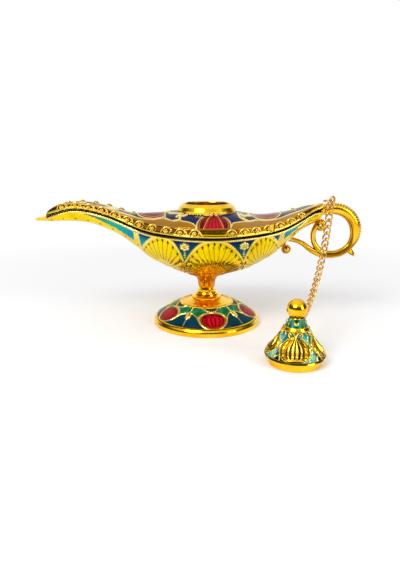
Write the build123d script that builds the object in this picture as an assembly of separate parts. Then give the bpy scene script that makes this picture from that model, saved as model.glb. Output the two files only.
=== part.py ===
"""Genie oil lamp: cast bowl with spout, enamelled deck, footed stem, scroll handle and a chained lid.

Millimetres. +X points to the handle, -X to the spout, +Z up, and -Y to the side with the standing lid.
The origin is the centre of the foot's underside, on the surface that the lamp stands on.
"""
from build123d import *
from math import asin, atan2, cos, degrees, hypot, pi, radians, sin, tan
import os

# Body: reaches, beam and heights of the whole lamp
spout_reach = 120.0         # stem axis to the tip of the spout
stern_reach = 82.0          # stem axis to the face that carries the handle
half_beam = 38.0            # half of the bowl's greatest width
body_height = 86.0          # table to the top of the mouth collar
hull_wall = 2.0
deck_wall = 1.5
band_height = 6.0           # upright edge of the deck, where the rope ornament runs
band_lean = 0.4             # the edge leans in by this much
ledge_width = 1.8           # flat top of the edge, between its face and the enamel
groove_depth = 1.3          # dark groove between hull and deck
groove_height = 1.1
enamel_depth = 0.8          # thickness of every enamel fill
enamel_gap = 0.15           # hairline between the deck's enamel and its ledge
deck_sink = 0.7             # the deck's foot is cut to the hull's rim from this far below the seam
cut_over = 3.0              # overrun of every cut
fit_gap = 0.1               # radial clearance of turned parts that enter each other

# Each station: place along the body, half width, seam, keel, crown and edge, all as shares.
# The place is a share of the spout's or the stern's reach, the width of half_beam, the three heights
# of body_height, and the edge of band_height.
station_shares = (
    (-1.000, 0.079, 0.879, 0.856, 0.890, 0.10),
    (-0.933, 0.121, 0.898, 0.856, 0.919, 0.20),
    (-0.892, 0.153, 0.915, 0.857, 0.972, 0.70),
    (-0.842, 0.189, 0.936, 0.859, 0.997, 0.77),
    (-0.767, 0.226, 0.956, 0.858, 1.008, 0.70),
    (-0.683, 0.250, 0.947, 0.843, 0.999, 0.70),
    (-0.592, 0.276, 0.917, 0.800, 0.973, 0.75),
    (-0.500, 0.316, 0.870, 0.735, 0.934, 0.83),
    (-0.425, 0.395, 0.828, 0.660, 0.917, 0.97),
    (-0.358, 0.526, 0.803, 0.592, 0.922, 1.00),
    (-0.292, 0.684, 0.791, 0.534, 0.926, 1.00),
    (-0.217, 0.837, 0.784, 0.484, 0.933, 1.00),
    (-0.117, 0.963, 0.776, 0.435, 0.949, 1.00),
    (0.000, 1.000, 0.772, 0.414, 0.960, 1.00),
    (0.171, 0.974, 0.773, 0.433, 0.947, 1.00),
    (0.317, 0.879, 0.779, 0.469, 0.919, 1.00),
    (0.439, 0.768, 0.788, 0.519, 0.908, 1.00),
    (0.549, 0.655, 0.801, 0.584, 0.912, 1.00),
    (0.659, 0.534, 0.829, 0.663, 0.923, 0.93),
    (0.768, 0.400, 0.874, 0.751, 0.947, 0.83),
    (0.878, 0.247, 0.924, 0.823, 0.977, 0.67),
    (1.000, 0.111, 0.979, 0.907, 1.000, 0.25),
)
deck_first = 1              # the deck starts one station behind the tip
cavity_last = -2            # the hollow stops at the second last station

# Mouth collar and the seat under it
collar_seat_height = 81.0
collar_base_radius = 20.4
collar_lip_radius = 17.2
collar_shoulder_share = 0.55  # height of the shoulder between seat and top
collar_shoulder_inset = 1.0
collar_round = 0.6
mouth_radius = 15.7
collar_skirt_radius = 17.2
collar_skirt_depth = 5.0
seat_boss_depth = 7.0
wick_hole_radius = 1.7
wick_hole_lift = 0.3        # above the spout's seam

# Foot, cove, stem moulding and neck
foot_radius = 38.5
foot_rim_height = 3.8
foot_rim_round = 1.2
facet_share = 0.3           # a rounded edge is cut in two flats at this share of its radius
foot_wall = 1.9
dish_edge_radius = 37.2
dish_edge_height = 4.6
dish_mid_radius = 28.6
dish_mid_height = 10.1
dish_top_radius = 19.7
dish_top_height = 14.4
enamel_margin = 0.5
foot_boss_radius = 7.0
foot_boss_depth = 7.4
bead_ring_radius = 18.3     # centreline of the beaded ring
bead_ring_thick = 0.8
bead_ring_height = 1.4
cove_top_radius = 10.9
cove_top_height = 17.8
cove_profile_shares = ((1.0, 0.21), (0.69, 0.34), (0.21, 0.68), (0.0, 1.0))
moulding_skirt_radius = 10.6
moulding_top_height = 26.2
moulding_top_radius = 5.3
# Outline of the moulding: across from its top's radius to its skirt's, and up
moulding_profile_shares = ((0.93, 0.0), (1.0, 0.06), (1.0, 0.15), (0.62, 0.3), (0.55, 0.42), (0.40, 0.46),
                           (0.31, 0.57), (0.17, 0.64), (0.17, 0.76), (0.06, 0.80), (0.0, 1.0))
neck_waist_radius = 5.5
# Outline of the neck: radius as a share of its waist's, height as a share of the way up to the bowl
neck_profile_shares = ((1.02, 0.0), (1.02, 0.1), (1.0, 0.15), (1.0, 0.3), (1.1, 0.45), (1.3, 0.6), (1.6, 0.75),
                       (2.1, 0.9))
neck_flare_radius = 15.0
neck_flare_height = 37.3
neck_core_height = 37.2     # top of the neck's core, inside the hull's floor
thread_post_radius = 5.0
thread_post_top = 44.0
foot_screw_radius = 2.0
foot_screw_head_radius = 3.8
foot_screw_head_height = 2.8
foot_screw_top = 41.0
washer_radius = 6.2
washer_thick = 1.0

# Handle: a round loop behind the stern, a scroll inside it and a brace to the bowl
loop_x = 89.2
loop_z = 65.7
loop_radius = 16.2
bottom_angle = 270.0        # the loop's lowest point
arm_root_radius = 3.7
arm_thick_radius = 3.95
arm_thin_radius = 2.7
scroll_radius = 13.7        # the inner scroll's larger bend
scroll_strand_radius = 1.9
scroll_bend_end = 140.0     # degrees, where the larger bend passes into the volute
volute_radius = 2.4
volute_turn = 290.0
volute_tip_radius = 1.6
brace_root_radius = 2.0
brace_strand_radius = 1.65
brace_ball_radius = 3.4
strand_stations = 12
# Brace route from the loop's bottom to its volute, as shares of loop_radius from the loop's centre
brace_route_shares = ((-0.10, -1.00), (-0.62, -0.93), (-0.98, -0.74), (-1.30, -0.50), (-1.64, -0.36),
                      (-1.98, -0.34), (-2.15, -0.55))
brace_ball_share = (-2.00, -0.76)
thorn_root_share = (0.70, -0.74)
thorn_tip_share = (1.04, -0.97)
thorn_root_radius = 1.7
thorn_tip_radius = 0.35
handle_screw_radius = 1.5
handle_screw_head_radius = 2.6
handle_screw_head_height = 1.8
handle_screw_grip = 8.0     # from the head's seat to the face of the stern
handle_screw_reach = 5.5    # thread inside the handle

# Chain eye, jump ring and chain
eye_x = 87.8
eye_height = 88.3
eye_ring_radius = 2.0
eye_wire_radius = 0.75
eye_shank_radius = 1.1
eye_shank_depth = 2.6
eye_turn = 30.0             # degrees about the shank, to suit the jump ring
ring_radius = 3.9
ring_wire_radius = 0.5
ring_drop = 0.5             # the ring hangs this far below the middle of the eye
hang_x = 85.2               # the first link hangs here on the ring
hang_y = -6.5
link_pitch = 4.6
link_wire_radius = 0.6
link_width = 5.8
link_gap = 0.35             # play between two links' wires
chain_slack = 0.04          # extra length, as a part of the straight way
link_twist = -45.0          # each half of a link is turned by this
first_link_roll = 18.0      # degrees about the chain, of its first link and of its last
last_link_roll = 45.0
link_corners = 12
bend_share = 0.45           # how much of each run a bend of the link takes up
least_bend = 0.01           # degrees, least bend of the chain at a joint
halvings = 40

# Lid, standing beside the foot
lid_x = 51.0
lid_y = -78.0
lid_seat_radius = 15.5      # the part that enters the mouth
lid_seat_height = 3.2
lid_seat_wall = 1.6
lid_bead_radius = 17.9
lid_bead_height = 5.0       # middle of the bead
lid_bead_thick = 1.8
lid_wall = 1.6
lid_flare_radius = 15.6
lid_flare_height = 8.2
lid_waist_radius = 11.6
lid_waist_height = 13.4
lid_band_radius = 7.6
lid_band_height = 20.9
lid_band_width = 1.6
lid_neck_base_radius = 6.6
lid_neck_radius = 4.0
lid_neck_height = 27.6
lid_hollow_radius = 11.5
lid_hollow_top_radius = 4.6
lid_hollow_top = 20.0
knob_radius = 6.0
knob_seat_drop = 5.0        # the ball's middle above its seat on the neck
knob_screw_radius = 1.25
knob_screw_head_radius = 2.3
knob_screw_head_height = 1.5
knob_screw_bite = 4.0
eyelet_radius = 1.6
eyelet_wire_radius = 0.55
eyelet_shank_radius = 0.6
eyelet_reach = 10.7         # lid axis to the point where the last link bears
eyelet_height = 21.7


def save(shape, name):
    """Writes one piece."""
    export_step(shape, f"parts/{name}.step")
    print(f"{name}: {shape.volume:.0f} mm3")


def station(index):
    """Place, half width, seam, keel, crown and edge of one station in millimetres."""
    place, width, seam, keel, crown, edge = station_shares[index]
    reach = spout_reach if place < 0 else stern_reach
    return (place * reach, width * half_beam, seam * body_height, keel * body_height,
            crown * body_height, edge * band_height)


def stations(first, last):
    """The stations from first up to and including last."""
    count = len(station_shares)
    return [station(index) for index in range(first % count, last % count + 1)]


def section(x, corners, arc_from, arc_to, arc_mid):
    """Closed cross-section at x: straight runs through the corners, and one arc between two of them."""
    edges = []
    for index, corner in enumerate(corners):
        after = corners[(index + 1) % len(corners)]
        if (index, (index + 1) % len(corners)) == (arc_from, arc_to):
            edges.append(ThreePointArc((x, *corner), (x, *arc_mid), (x, *after)))
        else:
            edges.append(Line((x, *corner), (x, *after)))
    return Face(Wire(edges))


def hull_section(x, width, seam, keel):
    """Round-bottomed section of the outside of the hull."""
    return section(x, ((-width, seam), (width, seam)), 1, 0, (0, keel))


def hollow_section(x, width, seam, keel, rise):
    """Section of the hull's hollow, open upwards by rise."""
    corners = ((-width, seam), (-width, seam + rise), (width, seam + rise), (width, seam))
    return section(x, corners, 3, 0, (0, keel))


def deck_section(x, width, seam, crown, edge):
    """Section of the deck without its enamel: groove, upright edge, ledge and sunk arch."""
    top = seam + edge
    foot = width - groove_depth
    inner = width - band_lean - ledge_width
    groove_top = seam + groove_height * edge / band_height
    half = ((foot, seam - deck_sink), (foot, groove_top), (width, groove_top), (width - band_lean, top),
            (inner, top), (inner, top - enamel_depth))
    corners = tuple((-y, z) for y, z in half) + tuple(reversed(half))
    return section(x, corners, len(half) - 1, len(half), (0, crown - enamel_depth))


def arch_section(x, width, low, side, crown):
    """Section with a flat bottom, upright sides and an arched top."""
    corners = ((-width, low), (-width, side), (width, side), (width, low))
    return section(x, corners, 1, 2, (0, crown))


def turned(points, axis=Axis.Z):
    """Solid of revolution from (radius, height) points, closed along the axis side."""
    outline = [(radius, 0, height) for radius, height in points]
    return revolve(Face(Wire(Polyline(*outline, close=True))), axis, 360)


def disc(radius, low, high):
    """Upright cylinder between two heights."""
    return Pos(0, 0, (low + high) / 2) * Cylinder(radius, high - low)


def rod(radius, start, end):
    """Cylinder from one point to another."""
    run = Vector(*end) - Vector(*start)
    middle = Vector(*start) + run * 0.5
    return Plane(origin=middle, z_dir=run) * Cylinder(radius, run.length)


def strand(route, radii):
    """Tapering round strand along a route in the XZ plane."""
    last = strand_stations - 1
    rounds = []
    for index in range(strand_stations):
        share = index / last
        spot = share * (len(radii) - 1)
        low = min(int(spot), len(radii) - 2)
        radius = radii[low] + (radii[low + 1] - radii[low]) * (spot - low)
        plane = Plane(origin=route @ share, x_dir=(0, 1, 0), z_dir=route % share)
        rounds.append(plane * Circle(radius))
    return loft(rounds)


def make_hull_blank():
    """Solid outside shape of the hull, from spout tip to stern."""
    return loft([hull_section(x, width, seam, keel) for x, width, seam, keel, _, _ in stations(0, -1)])


def make_hull_hollow():
    """The hull's hollow, which runs out through the spout's tip."""
    places = stations(0, cavity_last)
    rows = [(x, width - hull_wall, seam, keel + hull_wall) for x, width, seam, keel, _, _ in places]
    tip_x, tip_width, tip_seam, tip_keel, _, _ = places[0]
    lip = hull_wall * (tip_seam - tip_keel) / (hull_wall + tip_seam - tip_keel)
    rows[0] = (tip_x - cut_over, tip_width - lip, tip_seam, tip_keel + lip)
    return loft([hollow_section(x, width, seam, keel, cut_over) for x, width, seam, keel in rows])


def make_neck():
    """Neck that flares into the underside of the bowl, with the threaded post above it."""
    rise = neck_flare_height - moulding_top_height
    outline = [(neck_waist_radius * wide, moulding_top_height + rise * up) for wide, up in neck_profile_shares]
    profile = ((0, moulding_top_height), *outline, (neck_flare_radius, neck_flare_height),
               (neck_flare_radius, neck_flare_height + hull_wall / 2), (0, neck_core_height))
    post = disc(thread_post_radius, neck_core_height - hull_wall, thread_post_top)
    return turned(profile) + post


def arm_route():
    """The arm: over the top of the loop, down behind it and round to its lowest point."""
    root_angle = 90 + degrees(asin((loop_x - stern_reach) / loop_radius))
    return loop_plane() * CenterArc((0, 0), loop_radius, root_angle, bottom_angle - 360 - root_angle)


def screw_axis():
    """Root of the arm on the stern's face and its direction, which the handle's screw follows."""
    route = arm_route()
    return route @ 0, (route % 0).normalized()


def make_hull(blank):
    """Cast lower half: hollow spout and bowl, neck, stern block and screw holes."""
    root, along = screw_axis()
    body = blank - make_hull_hollow() + make_neck()
    body -= disc(foot_screw_radius + fit_gap, moulding_top_height - cut_over, foot_screw_top + fit_gap)
    seat = root - along * handle_screw_grip
    body -= rod(handle_screw_radius + fit_gap, seat - along * cut_over, root + along * cut_over)
    body -= rod(handle_screw_head_radius + fit_gap * 3, seat - along * cut_over * 3, seat)
    return body


def deck_rows():
    """The deck's stations."""
    return stations(deck_first, -1)


def make_deck_blank():
    """Deck without its hollow and before it is set on the hull, with the boss that carries the collar."""
    blank = loft([deck_section(x, width, seam, crown, edge) for x, width, seam, _, crown, edge in deck_rows()])
    blank -= disc(collar_base_radius, collar_seat_height, collar_seat_height + cut_over * 3)
    return blank + disc(collar_base_radius, collar_seat_height - seat_boss_depth, collar_seat_height)


def make_deck(blank, hull_blank):
    """Cast upper half: arched shell with an upright edge, mouth bore and wick hole."""
    rows = []
    for x, width, seam, _, crown, edge in deck_rows()[:-1]:
        inner = width - groove_depth - deck_wall
        rows.append((x, inner, seam - cut_over * 2, seam + edge - enamel_depth - deck_wall,
                     crown - enamel_depth - deck_wall))
    hollow = loft([arch_section(*row) for row in rows])
    boss_low = collar_seat_height - seat_boss_depth
    hollow -= disc(collar_base_radius, boss_low, collar_seat_height)
    body = blank - hollow - hull_blank
    body -= disc(collar_skirt_radius + fit_gap, boss_low - cut_over * 3, collar_seat_height + cut_over)
    tip = station(deck_first)
    behind = station(deck_first + 3)
    low = tip[2] + wick_hole_lift
    return body - rod(wick_hole_radius, (tip[0] - cut_over, 0, low), (behind[0], 0, low + wick_hole_radius))


def make_deck_enamel(blank, collar_well):
    """Enamel that fills the deck's arch between its edges, round the collar."""
    rows = []
    for x, width, seam, _, crown, edge in deck_rows():
        rows.append((x, width - band_lean - ledge_width - enamel_gap, seam, seam + edge, crown))
    fill = loft([arch_section(*row) for row in rows])
    return fill - blank - collar_well


def make_collar():
    """Polished ring round the mouth, with a skirt in the deck's bore."""
    rise = body_height - collar_seat_height
    shoulder = collar_seat_height + rise * collar_shoulder_share
    low = collar_seat_height - collar_skirt_depth
    return turned(((mouth_radius, low), (collar_skirt_radius, low), (collar_skirt_radius, collar_seat_height),
                   (collar_base_radius, collar_seat_height),
                   (collar_base_radius, collar_seat_height + collar_round),
                   (collar_base_radius - collar_shoulder_inset, shoulder),
                   (collar_lip_radius, body_height - collar_round),
                   (collar_lip_radius - collar_round, body_height),
                   (mouth_radius + collar_round / 2, body_height), (mouth_radius, body_height - collar_round)))


def dish_arc(lift, inset):
    """The dish's bulging slope, lifted and shortened at both ends."""
    return ThreePointArc((dish_edge_radius - inset, 0, dish_edge_height + lift),
                         (dish_mid_radius, 0, dish_mid_height + lift),
                         (dish_top_radius + inset, 0, dish_top_height + lift))


def make_foot_dish():
    """Foot: a hollow dish with a thick rim, a sunk slope for the enamel and a boss for the screw."""
    slope = dish_arc(-enamel_depth, enamel_margin)
    outer_start, outer_end = slope @ 0, slope @ 1
    under = dish_arc(-enamel_depth - foot_wall, enamel_margin)
    under_start, under_end = under @ 0, under @ 1
    bore = foot_screw_radius + fit_gap
    boss_low = dish_top_height - foot_boss_depth
    rim_in = foot_radius - foot_wall
    outer = Polyline(outer_end, (dish_top_radius + enamel_margin, 0, dish_top_height),
                     (bore, 0, dish_top_height), (bore, 0, boss_low), (foot_boss_radius, 0, boss_low),
                     (foot_boss_radius, 0, under_end.Z), under_end)
    inner = Polyline(under_start, (rim_in, 0, under_start.Z), (rim_in, 0, 0), (foot_radius, 0, 0),
                     (foot_radius, 0, foot_rim_height - foot_rim_round),
                     (foot_radius - foot_rim_round * facet_share, 0,
                      foot_rim_height - foot_rim_round * facet_share),
                     (foot_radius - foot_rim_round, 0, dish_edge_height),
                     (dish_edge_radius - enamel_margin, 0, dish_edge_height), outer_start)
    outline = Wire([*slope.edges(), *outer.edges(), *under.edges(), *inner.edges()])
    return revolve(Face(outline), Axis.Z, 360)


def make_foot_enamel():
    """Enamel on the dish's slope."""
    low = dish_arc(-enamel_depth, enamel_margin)
    high = dish_arc(0, enamel_margin)
    ends = (Line(low @ 0, high @ 0), Line(low @ 1, high @ 1))
    return revolve(Face(Wire([*low.edges(), *high.edges(), *(end.edge() for end in ends)])), Axis.Z, 360)


def make_foot_cove():
    """Turned ring on the dish: beads outside, a hollow slope up to the stem inside."""
    bore = foot_screw_radius + fit_gap
    outside = bead_ring_radius + bead_ring_thick
    run = bead_ring_radius - bead_ring_thick - cove_top_radius
    rise = cove_top_height - dish_top_height
    slope = [(cove_top_radius + run * across, dish_top_height + rise * up) for across, up in cove_profile_shares]
    return turned(((bore, dish_top_height), (outside, dish_top_height),
                   (outside, dish_top_height + bead_ring_thick),
                   (bead_ring_radius, dish_top_height + bead_ring_height), *slope, (bore, cove_top_height)))


def make_stem_moulding():
    """Turned moulding between the cove and the neck: skirt, two steps and a waist."""
    bore = foot_screw_radius + fit_gap
    rise = moulding_top_height - cove_top_height
    run = moulding_skirt_radius - moulding_top_radius
    steps = [(moulding_top_radius + run * across, cove_top_height + rise * up)
             for across, up in moulding_profile_shares]
    return turned(((bore, cove_top_height), *steps, (bore, moulding_top_height)))


def make_washer():
    """Plain washer under the foot's boss."""
    low = dish_top_height - foot_boss_depth - washer_thick
    return disc(washer_radius, low, low + washer_thick) - disc(foot_screw_radius + fit_gap, low - cut_over,
                                                              low + cut_over)


def make_foot_screw():
    """Screw that clamps foot, cove and moulding to the neck."""
    seat = dish_top_height - foot_boss_depth - washer_thick
    head = disc(foot_screw_head_radius, seat - foot_screw_head_height, seat)
    slot_width = foot_screw_radius / 2
    slot = Pos(0, 0, seat - foot_screw_head_height) * Box(foot_screw_head_radius * 3, slot_width, slot_width * 2)
    return head - slot + disc(foot_screw_radius, seat, foot_screw_top - foot_screw_radius / 2)


def loop_plane():
    """Upright plane of the handle, centred on its loop."""
    return Plane(origin=(loop_x, 0, loop_z), x_dir=(1, 0, 0), z_dir=(0, -1, 0))


def loop_point(share):
    """Point in the loop's plane, given in shares of the loop's radius from its centre."""
    return loop_plane().from_local_coords((share[0] * loop_radius, share[1] * loop_radius, 0))


def make_scroll():
    """Scroll inside the loop, from its bottom round to a small volute."""
    drop = loop_radius - scroll_radius
    bend = loop_plane() * CenterArc((0, -drop), scroll_radius, bottom_angle, scroll_bend_end - bottom_angle)
    curve = strand(bend, (arm_thin_radius, scroll_strand_radius, scroll_strand_radius))
    shift = scroll_radius - volute_radius
    middle = (shift * cos(radians(scroll_bend_end)), shift * sin(radians(scroll_bend_end)) - drop)
    curl = loop_plane() * CenterArc(middle, volute_radius, scroll_bend_end, -volute_turn)
    return curve + strand(curl, (scroll_strand_radius, volute_tip_radius))


def make_brace():
    """Brace from the loop's bottom to the bowl, with its ball, and the thorn behind the loop."""
    route = Spline(*[loop_point(share) for share in brace_route_shares])
    brace = strand(route, (arm_thin_radius, brace_root_radius, brace_strand_radius, brace_strand_radius))
    ball = Pos(*loop_point(brace_ball_share)) * Sphere(brace_ball_radius)
    thorn = strand(Line(loop_point(thorn_root_share), loop_point(thorn_tip_share)),
                   (thorn_root_radius, thorn_tip_radius))
    return brace + ball + thorn


def make_handle(hull_blank, deck_blank):
    """Cast handle: arm and loop, inner scroll with its volute, brace with its ball, and thorn."""
    arm = strand(arm_route(), (arm_root_radius, arm_thick_radius, arm_thick_radius, arm_thin_radius,
                               arm_thin_radius))
    body = arm + make_scroll() + make_brace() + Pos(loop_x, 0, loop_z - loop_radius) * Sphere(arm_thin_radius)
    body = body - hull_blank - deck_blank
    start, along = screw_axis()
    body -= rod(handle_screw_radius + fit_gap, start - along * cut_over,
                start + along * (handle_screw_reach + fit_gap))
    return body - rod(eye_shank_radius + fit_gap, (eye_x, 0, arm_top() - eye_shank_depth - fit_gap),
                      (eye_x, 0, arm_top() + cut_over))


def arm_top():
    """Height of the arm's top under the chain eye, a little sunk so that the eye's flange sits down."""
    middle = loop_z + (loop_radius ** 2 - (eye_x - loop_x) ** 2) ** 0.5
    return middle + arm_root_radius


def make_handle_screw():
    """Screw from inside the stern into the arm's root."""
    start, along = screw_axis()
    seat = start - along * handle_screw_grip
    head = rod(handle_screw_head_radius, seat - along * handle_screw_head_height, seat)
    return head + rod(handle_screw_radius, seat, start + along * handle_screw_reach)


def make_chain_eye():
    """Eye on the arm's top: a ring on a shank that enters the arm."""
    ring = Pos(eye_x, 0, eye_height) * Rot(0, 0, eye_turn) * Rot(90, 0, 0) * Torus(eye_ring_radius, eye_wire_radius)
    low = eye_height - eye_ring_radius
    return ring + rod(eye_shank_radius, (eye_x, 0, arm_top() - eye_shank_depth), (eye_x, 0, low))


def chain_run():
    """Level run of the chain, its drop, and the compass direction of its upright plane as (x, y)."""
    run_x = lid_x - hang_x
    run_y = lid_y - hang_y
    length = hypot(run_x, run_y)
    return length - eyelet_reach, chain_start_height() - eyelet_height, (run_x / length, run_y / length)


def chain_start_height():
    """Height at which the first link bears on the ring."""
    return eye_height - ring_drop + ring_wire_radius + link_gap / 2


def link_total():
    """Number of links that span the way with some slack."""
    run, drop, _ = chain_run()
    return round(hypot(run, drop) * (1 + chain_slack) / link_pitch)


def link_bend():
    """Degrees between neighbouring links that make the hanging arc end at the eyelet, by halving."""
    run, drop, _ = chain_run()
    span = hypot(run, drop) / link_pitch
    count = link_total()
    low, high = radians(least_bend), 2 * pi / count
    for _ in range(halvings):
        middle = (low + high) / 2
        if sin(count * middle / 2) / sin(middle / 2) > span:
            low = middle
        else:
            high = middle
    return degrees(low)


def chain_joints():
    """Points where the links bear on each other, from the ring to the lid's eyelet."""
    run, drop, (head_x, head_y) = chain_run()
    first_slope = degrees(atan2(drop, run)) + link_bend() * (link_total() - 1) / 2
    points = [Vector(hang_x, hang_y, chain_start_height())]
    for index in range(link_total()):
        slope = radians(first_slope - link_bend() * index)
        step = Vector(head_x * cos(slope), head_y * cos(slope), -sin(slope))
        points.append(points[-1] + step * link_pitch)
    return points


def make_link():
    """One curb link along X, centred, its two halves twisted against each other."""
    reach = (link_pitch + link_gap) / 2 + link_wire_radius
    side = link_width / 2 - link_wire_radius
    spread = 1 / cos(pi / link_corners)
    corners = []
    for index in range(link_corners):
        turn = 2 * pi * (index + 0.5) / link_corners
        twist = radians(link_twist) * cos(turn)
        across = side * spread * sin(turn)
        corners.append(Vector(reach * spread * cos(turn), across * cos(twist), across * sin(twist)))
    radii = []
    for index, corner in enumerate(corners):
        before = corners[index - 1]
        after = corners[(index + 1) % link_corners]
        bend = radians((corner - before).get_angle(after - corner))
        run = min((corner - before).length, (after - corner).length)
        radii.append(bend_share * run / tan(bend / 2))
    edges = Wire(FilletPolyline(*corners, radius=radii, close=True).edges()).order_edges()
    halves = (Wire(edges[:link_corners]), Wire(edges[link_corners:]))
    bars = [sweep(Plane(origin=half @ 0, z_dir=half % 0) * Circle(link_wire_radius), half) for half in halves]
    return bars[0] + bars[1]


def link_place(points, index):
    """Place of one link: X along the chain, turned about it by the chain's roll."""
    along = points[index + 1] - points[index]
    middle = (points[index] + points[index + 1]) * 0.5
    _, _, (head_x, head_y) = chain_run()
    across = Vector(-head_y, head_x, 0)
    plane = Plane(origin=middle, x_dir=along, z_dir=along.cross(across))
    roll = first_link_roll + (last_link_roll - first_link_roll) * index / (link_total() - 1)
    return Location(plane) * Rot(roll, 0, 0)


def make_jump_ring():
    """Ring through the eye that carries the chain."""
    height = eye_height - ring_drop
    side_x = eye_x - hang_x
    side_y = -hang_y
    chord = hypot(side_x, side_y)
    rise = (ring_radius ** 2 - (chord / 2) ** 2) ** 0.5
    middle_x = (eye_x + hang_x) / 2 - rise * side_y / chord
    middle_y = hang_y / 2 + rise * side_x / chord
    return Pos(middle_x, middle_y, height) * Torus(ring_radius, ring_wire_radius)


def lid_arc(lift, inset):
    """The lid's hollow flare from its bead up to its band."""
    return ThreePointArc((lid_flare_radius + lift, 0, lid_flare_height + inset),
                         (lid_waist_radius + lift, 0, lid_waist_height),
                         (lid_band_radius + lift, 0, lid_band_height - inset))


def make_lid_shell():
    """Cast lid: bead, flare sunk for the enamel, band, neck sunk for the enamel, hollow and screw hole."""
    flare = lid_arc(-enamel_depth, enamel_margin)
    bore = knob_screw_radius + fit_gap
    band_top = lid_band_height + lid_band_width
    bead_low = lid_bead_height - lid_bead_thick
    bead_high = lid_bead_height + lid_bead_thick
    facet = lid_bead_thick * facet_share
    up = Polyline(flare @ 1, (lid_band_radius, 0, lid_band_height - enamel_margin),
                  (lid_band_radius, 0, lid_band_height), (lid_neck_base_radius, 0, band_top),
                  (lid_neck_base_radius - enamel_depth, 0, band_top), (lid_neck_radius - enamel_depth, 0, lid_neck_height),
                  (bore, 0, lid_neck_height), (bore, 0, lid_hollow_top),
                  (lid_hollow_top_radius, 0, lid_hollow_top), (lid_hollow_radius, 0, lid_flare_height),
                  (lid_seat_radius - lid_seat_wall, 0, bead_low), (lid_bead_radius - lid_bead_thick, 0, bead_low),
                  (lid_bead_radius - facet, 0, bead_low + facet), (lid_bead_radius, 0, lid_bead_height),
                  (lid_bead_radius - facet, 0, bead_high - facet),
                  (lid_flare_radius, 0, lid_flare_height),
                  (lid_flare_radius, 0, lid_flare_height + enamel_margin), flare @ 0)
    shell = revolve(Face(Wire([*flare.edges(), *up.edges()])), Axis.Z, 360)
    return shell - eyelet_hole()


def make_lid_enamel():
    """Enamel on the lid's flare."""
    low = lid_arc(-enamel_depth, enamel_margin)
    high = lid_arc(0, enamel_margin)
    ends = (Line(low @ 0, high @ 0), Line(low @ 1, high @ 1))
    return revolve(Face(Wire([*low.edges(), *high.edges(), *(end.edge() for end in ends)])), Axis.Z, 360)


def make_lid_neck_enamel():
    """Enamel round the lid's neck."""
    low = lid_band_height + lid_band_width
    return turned(((lid_neck_base_radius - enamel_depth, low), (lid_neck_base_radius, low),
                   (lid_neck_radius, lid_neck_height),
                   (lid_neck_radius - enamel_depth, lid_neck_height)))


def make_lid_seat():
    """Ring under the lid that enters the mouth."""
    top = lid_bead_height - lid_bead_thick
    inner = lid_seat_radius - lid_seat_wall
    return disc(lid_seat_radius, 0, top) - disc(inner, -cut_over, top + cut_over)


def make_knob():
    """Ball on the lid's neck, flattened where it sits."""
    middle = lid_neck_height + knob_seat_drop
    ball = Pos(0, 0, middle) * Sphere(knob_radius)
    ball -= disc(knob_radius, lid_neck_height - knob_radius, lid_neck_height)
    return ball - disc(knob_screw_radius + fit_gap, lid_neck_height - cut_over,
                       lid_neck_height + knob_screw_bite + fit_gap)


def make_knob_screw():
    """Screw from inside the lid into the ball."""
    head = disc(knob_screw_head_radius, lid_hollow_top - knob_screw_head_height, lid_hollow_top)
    return head + disc(knob_screw_radius, lid_hollow_top, lid_neck_height + knob_screw_bite)


def eyelet_turn():
    """Turn from +X to the compass direction from the lid's axis back to the ring."""
    _, _, (head_x, head_y) = chain_run()
    return Rot(0, 0, degrees(atan2(-head_y, -head_x)))


def eyelet_hole():
    """Blind hole for the eyelet's shank in the lid's band."""
    start = lid_band_radius / 2
    return eyelet_turn() * rod(eyelet_shank_radius + fit_gap, (start, 0, eyelet_height),
                               (lid_band_radius + cut_over, 0, eyelet_height))


def make_eyelet():
    """Eyelet in the lid's band, where the chain's last link hangs."""
    middle = eyelet_reach - eyelet_radius + eyelet_wire_radius + link_gap / 2
    ring = Pos(middle, 0, eyelet_height) * Rot(90, 0, 0) * Torus(eyelet_radius, eyelet_wire_radius)
    shank = rod(eyelet_shank_radius, (lid_band_radius / 2 + fit_gap, 0, eyelet_height),
                (middle - eyelet_radius, 0, eyelet_height))
    return eyelet_turn() * (ring + shank)


os.makedirs("parts", exist_ok=True)
hull_shape = make_hull_blank()
deck_shape = make_deck_blank()
well = disc(collar_base_radius, collar_seat_height - seat_boss_depth, collar_seat_height + cut_over * 3)
save(make_hull(hull_shape), "hull")
save(make_deck(deck_shape, hull_shape), "deck")
save(make_deck_enamel(deck_shape, well), "deck_enamel")
save(make_collar(), "mouth_collar")
save(make_foot_dish(), "foot_dish")
save(make_foot_enamel(), "foot_enamel")
save(make_foot_cove(), "foot_cove")
save(make_stem_moulding(), "stem_moulding")
save(make_washer(), "foot_washer")
save(make_foot_screw(), "foot_screw")
save(make_handle(hull_shape, deck_shape), "handle")
save(make_handle_screw(), "handle_screw")
save(make_chain_eye(), "chain_eye")
save(make_jump_ring(), "jump_ring")

lid_stand = Pos(lid_x, lid_y, 0)
save(lid_stand * make_lid_shell(), "lid_shell")
save(lid_stand * make_lid_enamel(), "lid_enamel")
save(lid_stand * make_lid_neck_enamel(), "lid_neck_enamel")
save(lid_stand * make_lid_seat(), "lid_seat_ring")
save(lid_stand * make_knob(), "lid_knob")
save(lid_stand * make_knob_screw(), "lid_knob_screw")
save(lid_stand * make_eyelet(), "lid_eyelet")

link = make_link()
joints = chain_joints()
for number in range(link_total()):
    save(link_place(joints, number) * link, f"chain_link_{number + 1:02d}")
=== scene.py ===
import math

import bpy
import numpy as np
from mathutils import Matrix, Vector
from mathutils.bvhtree import BVHTree


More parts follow.
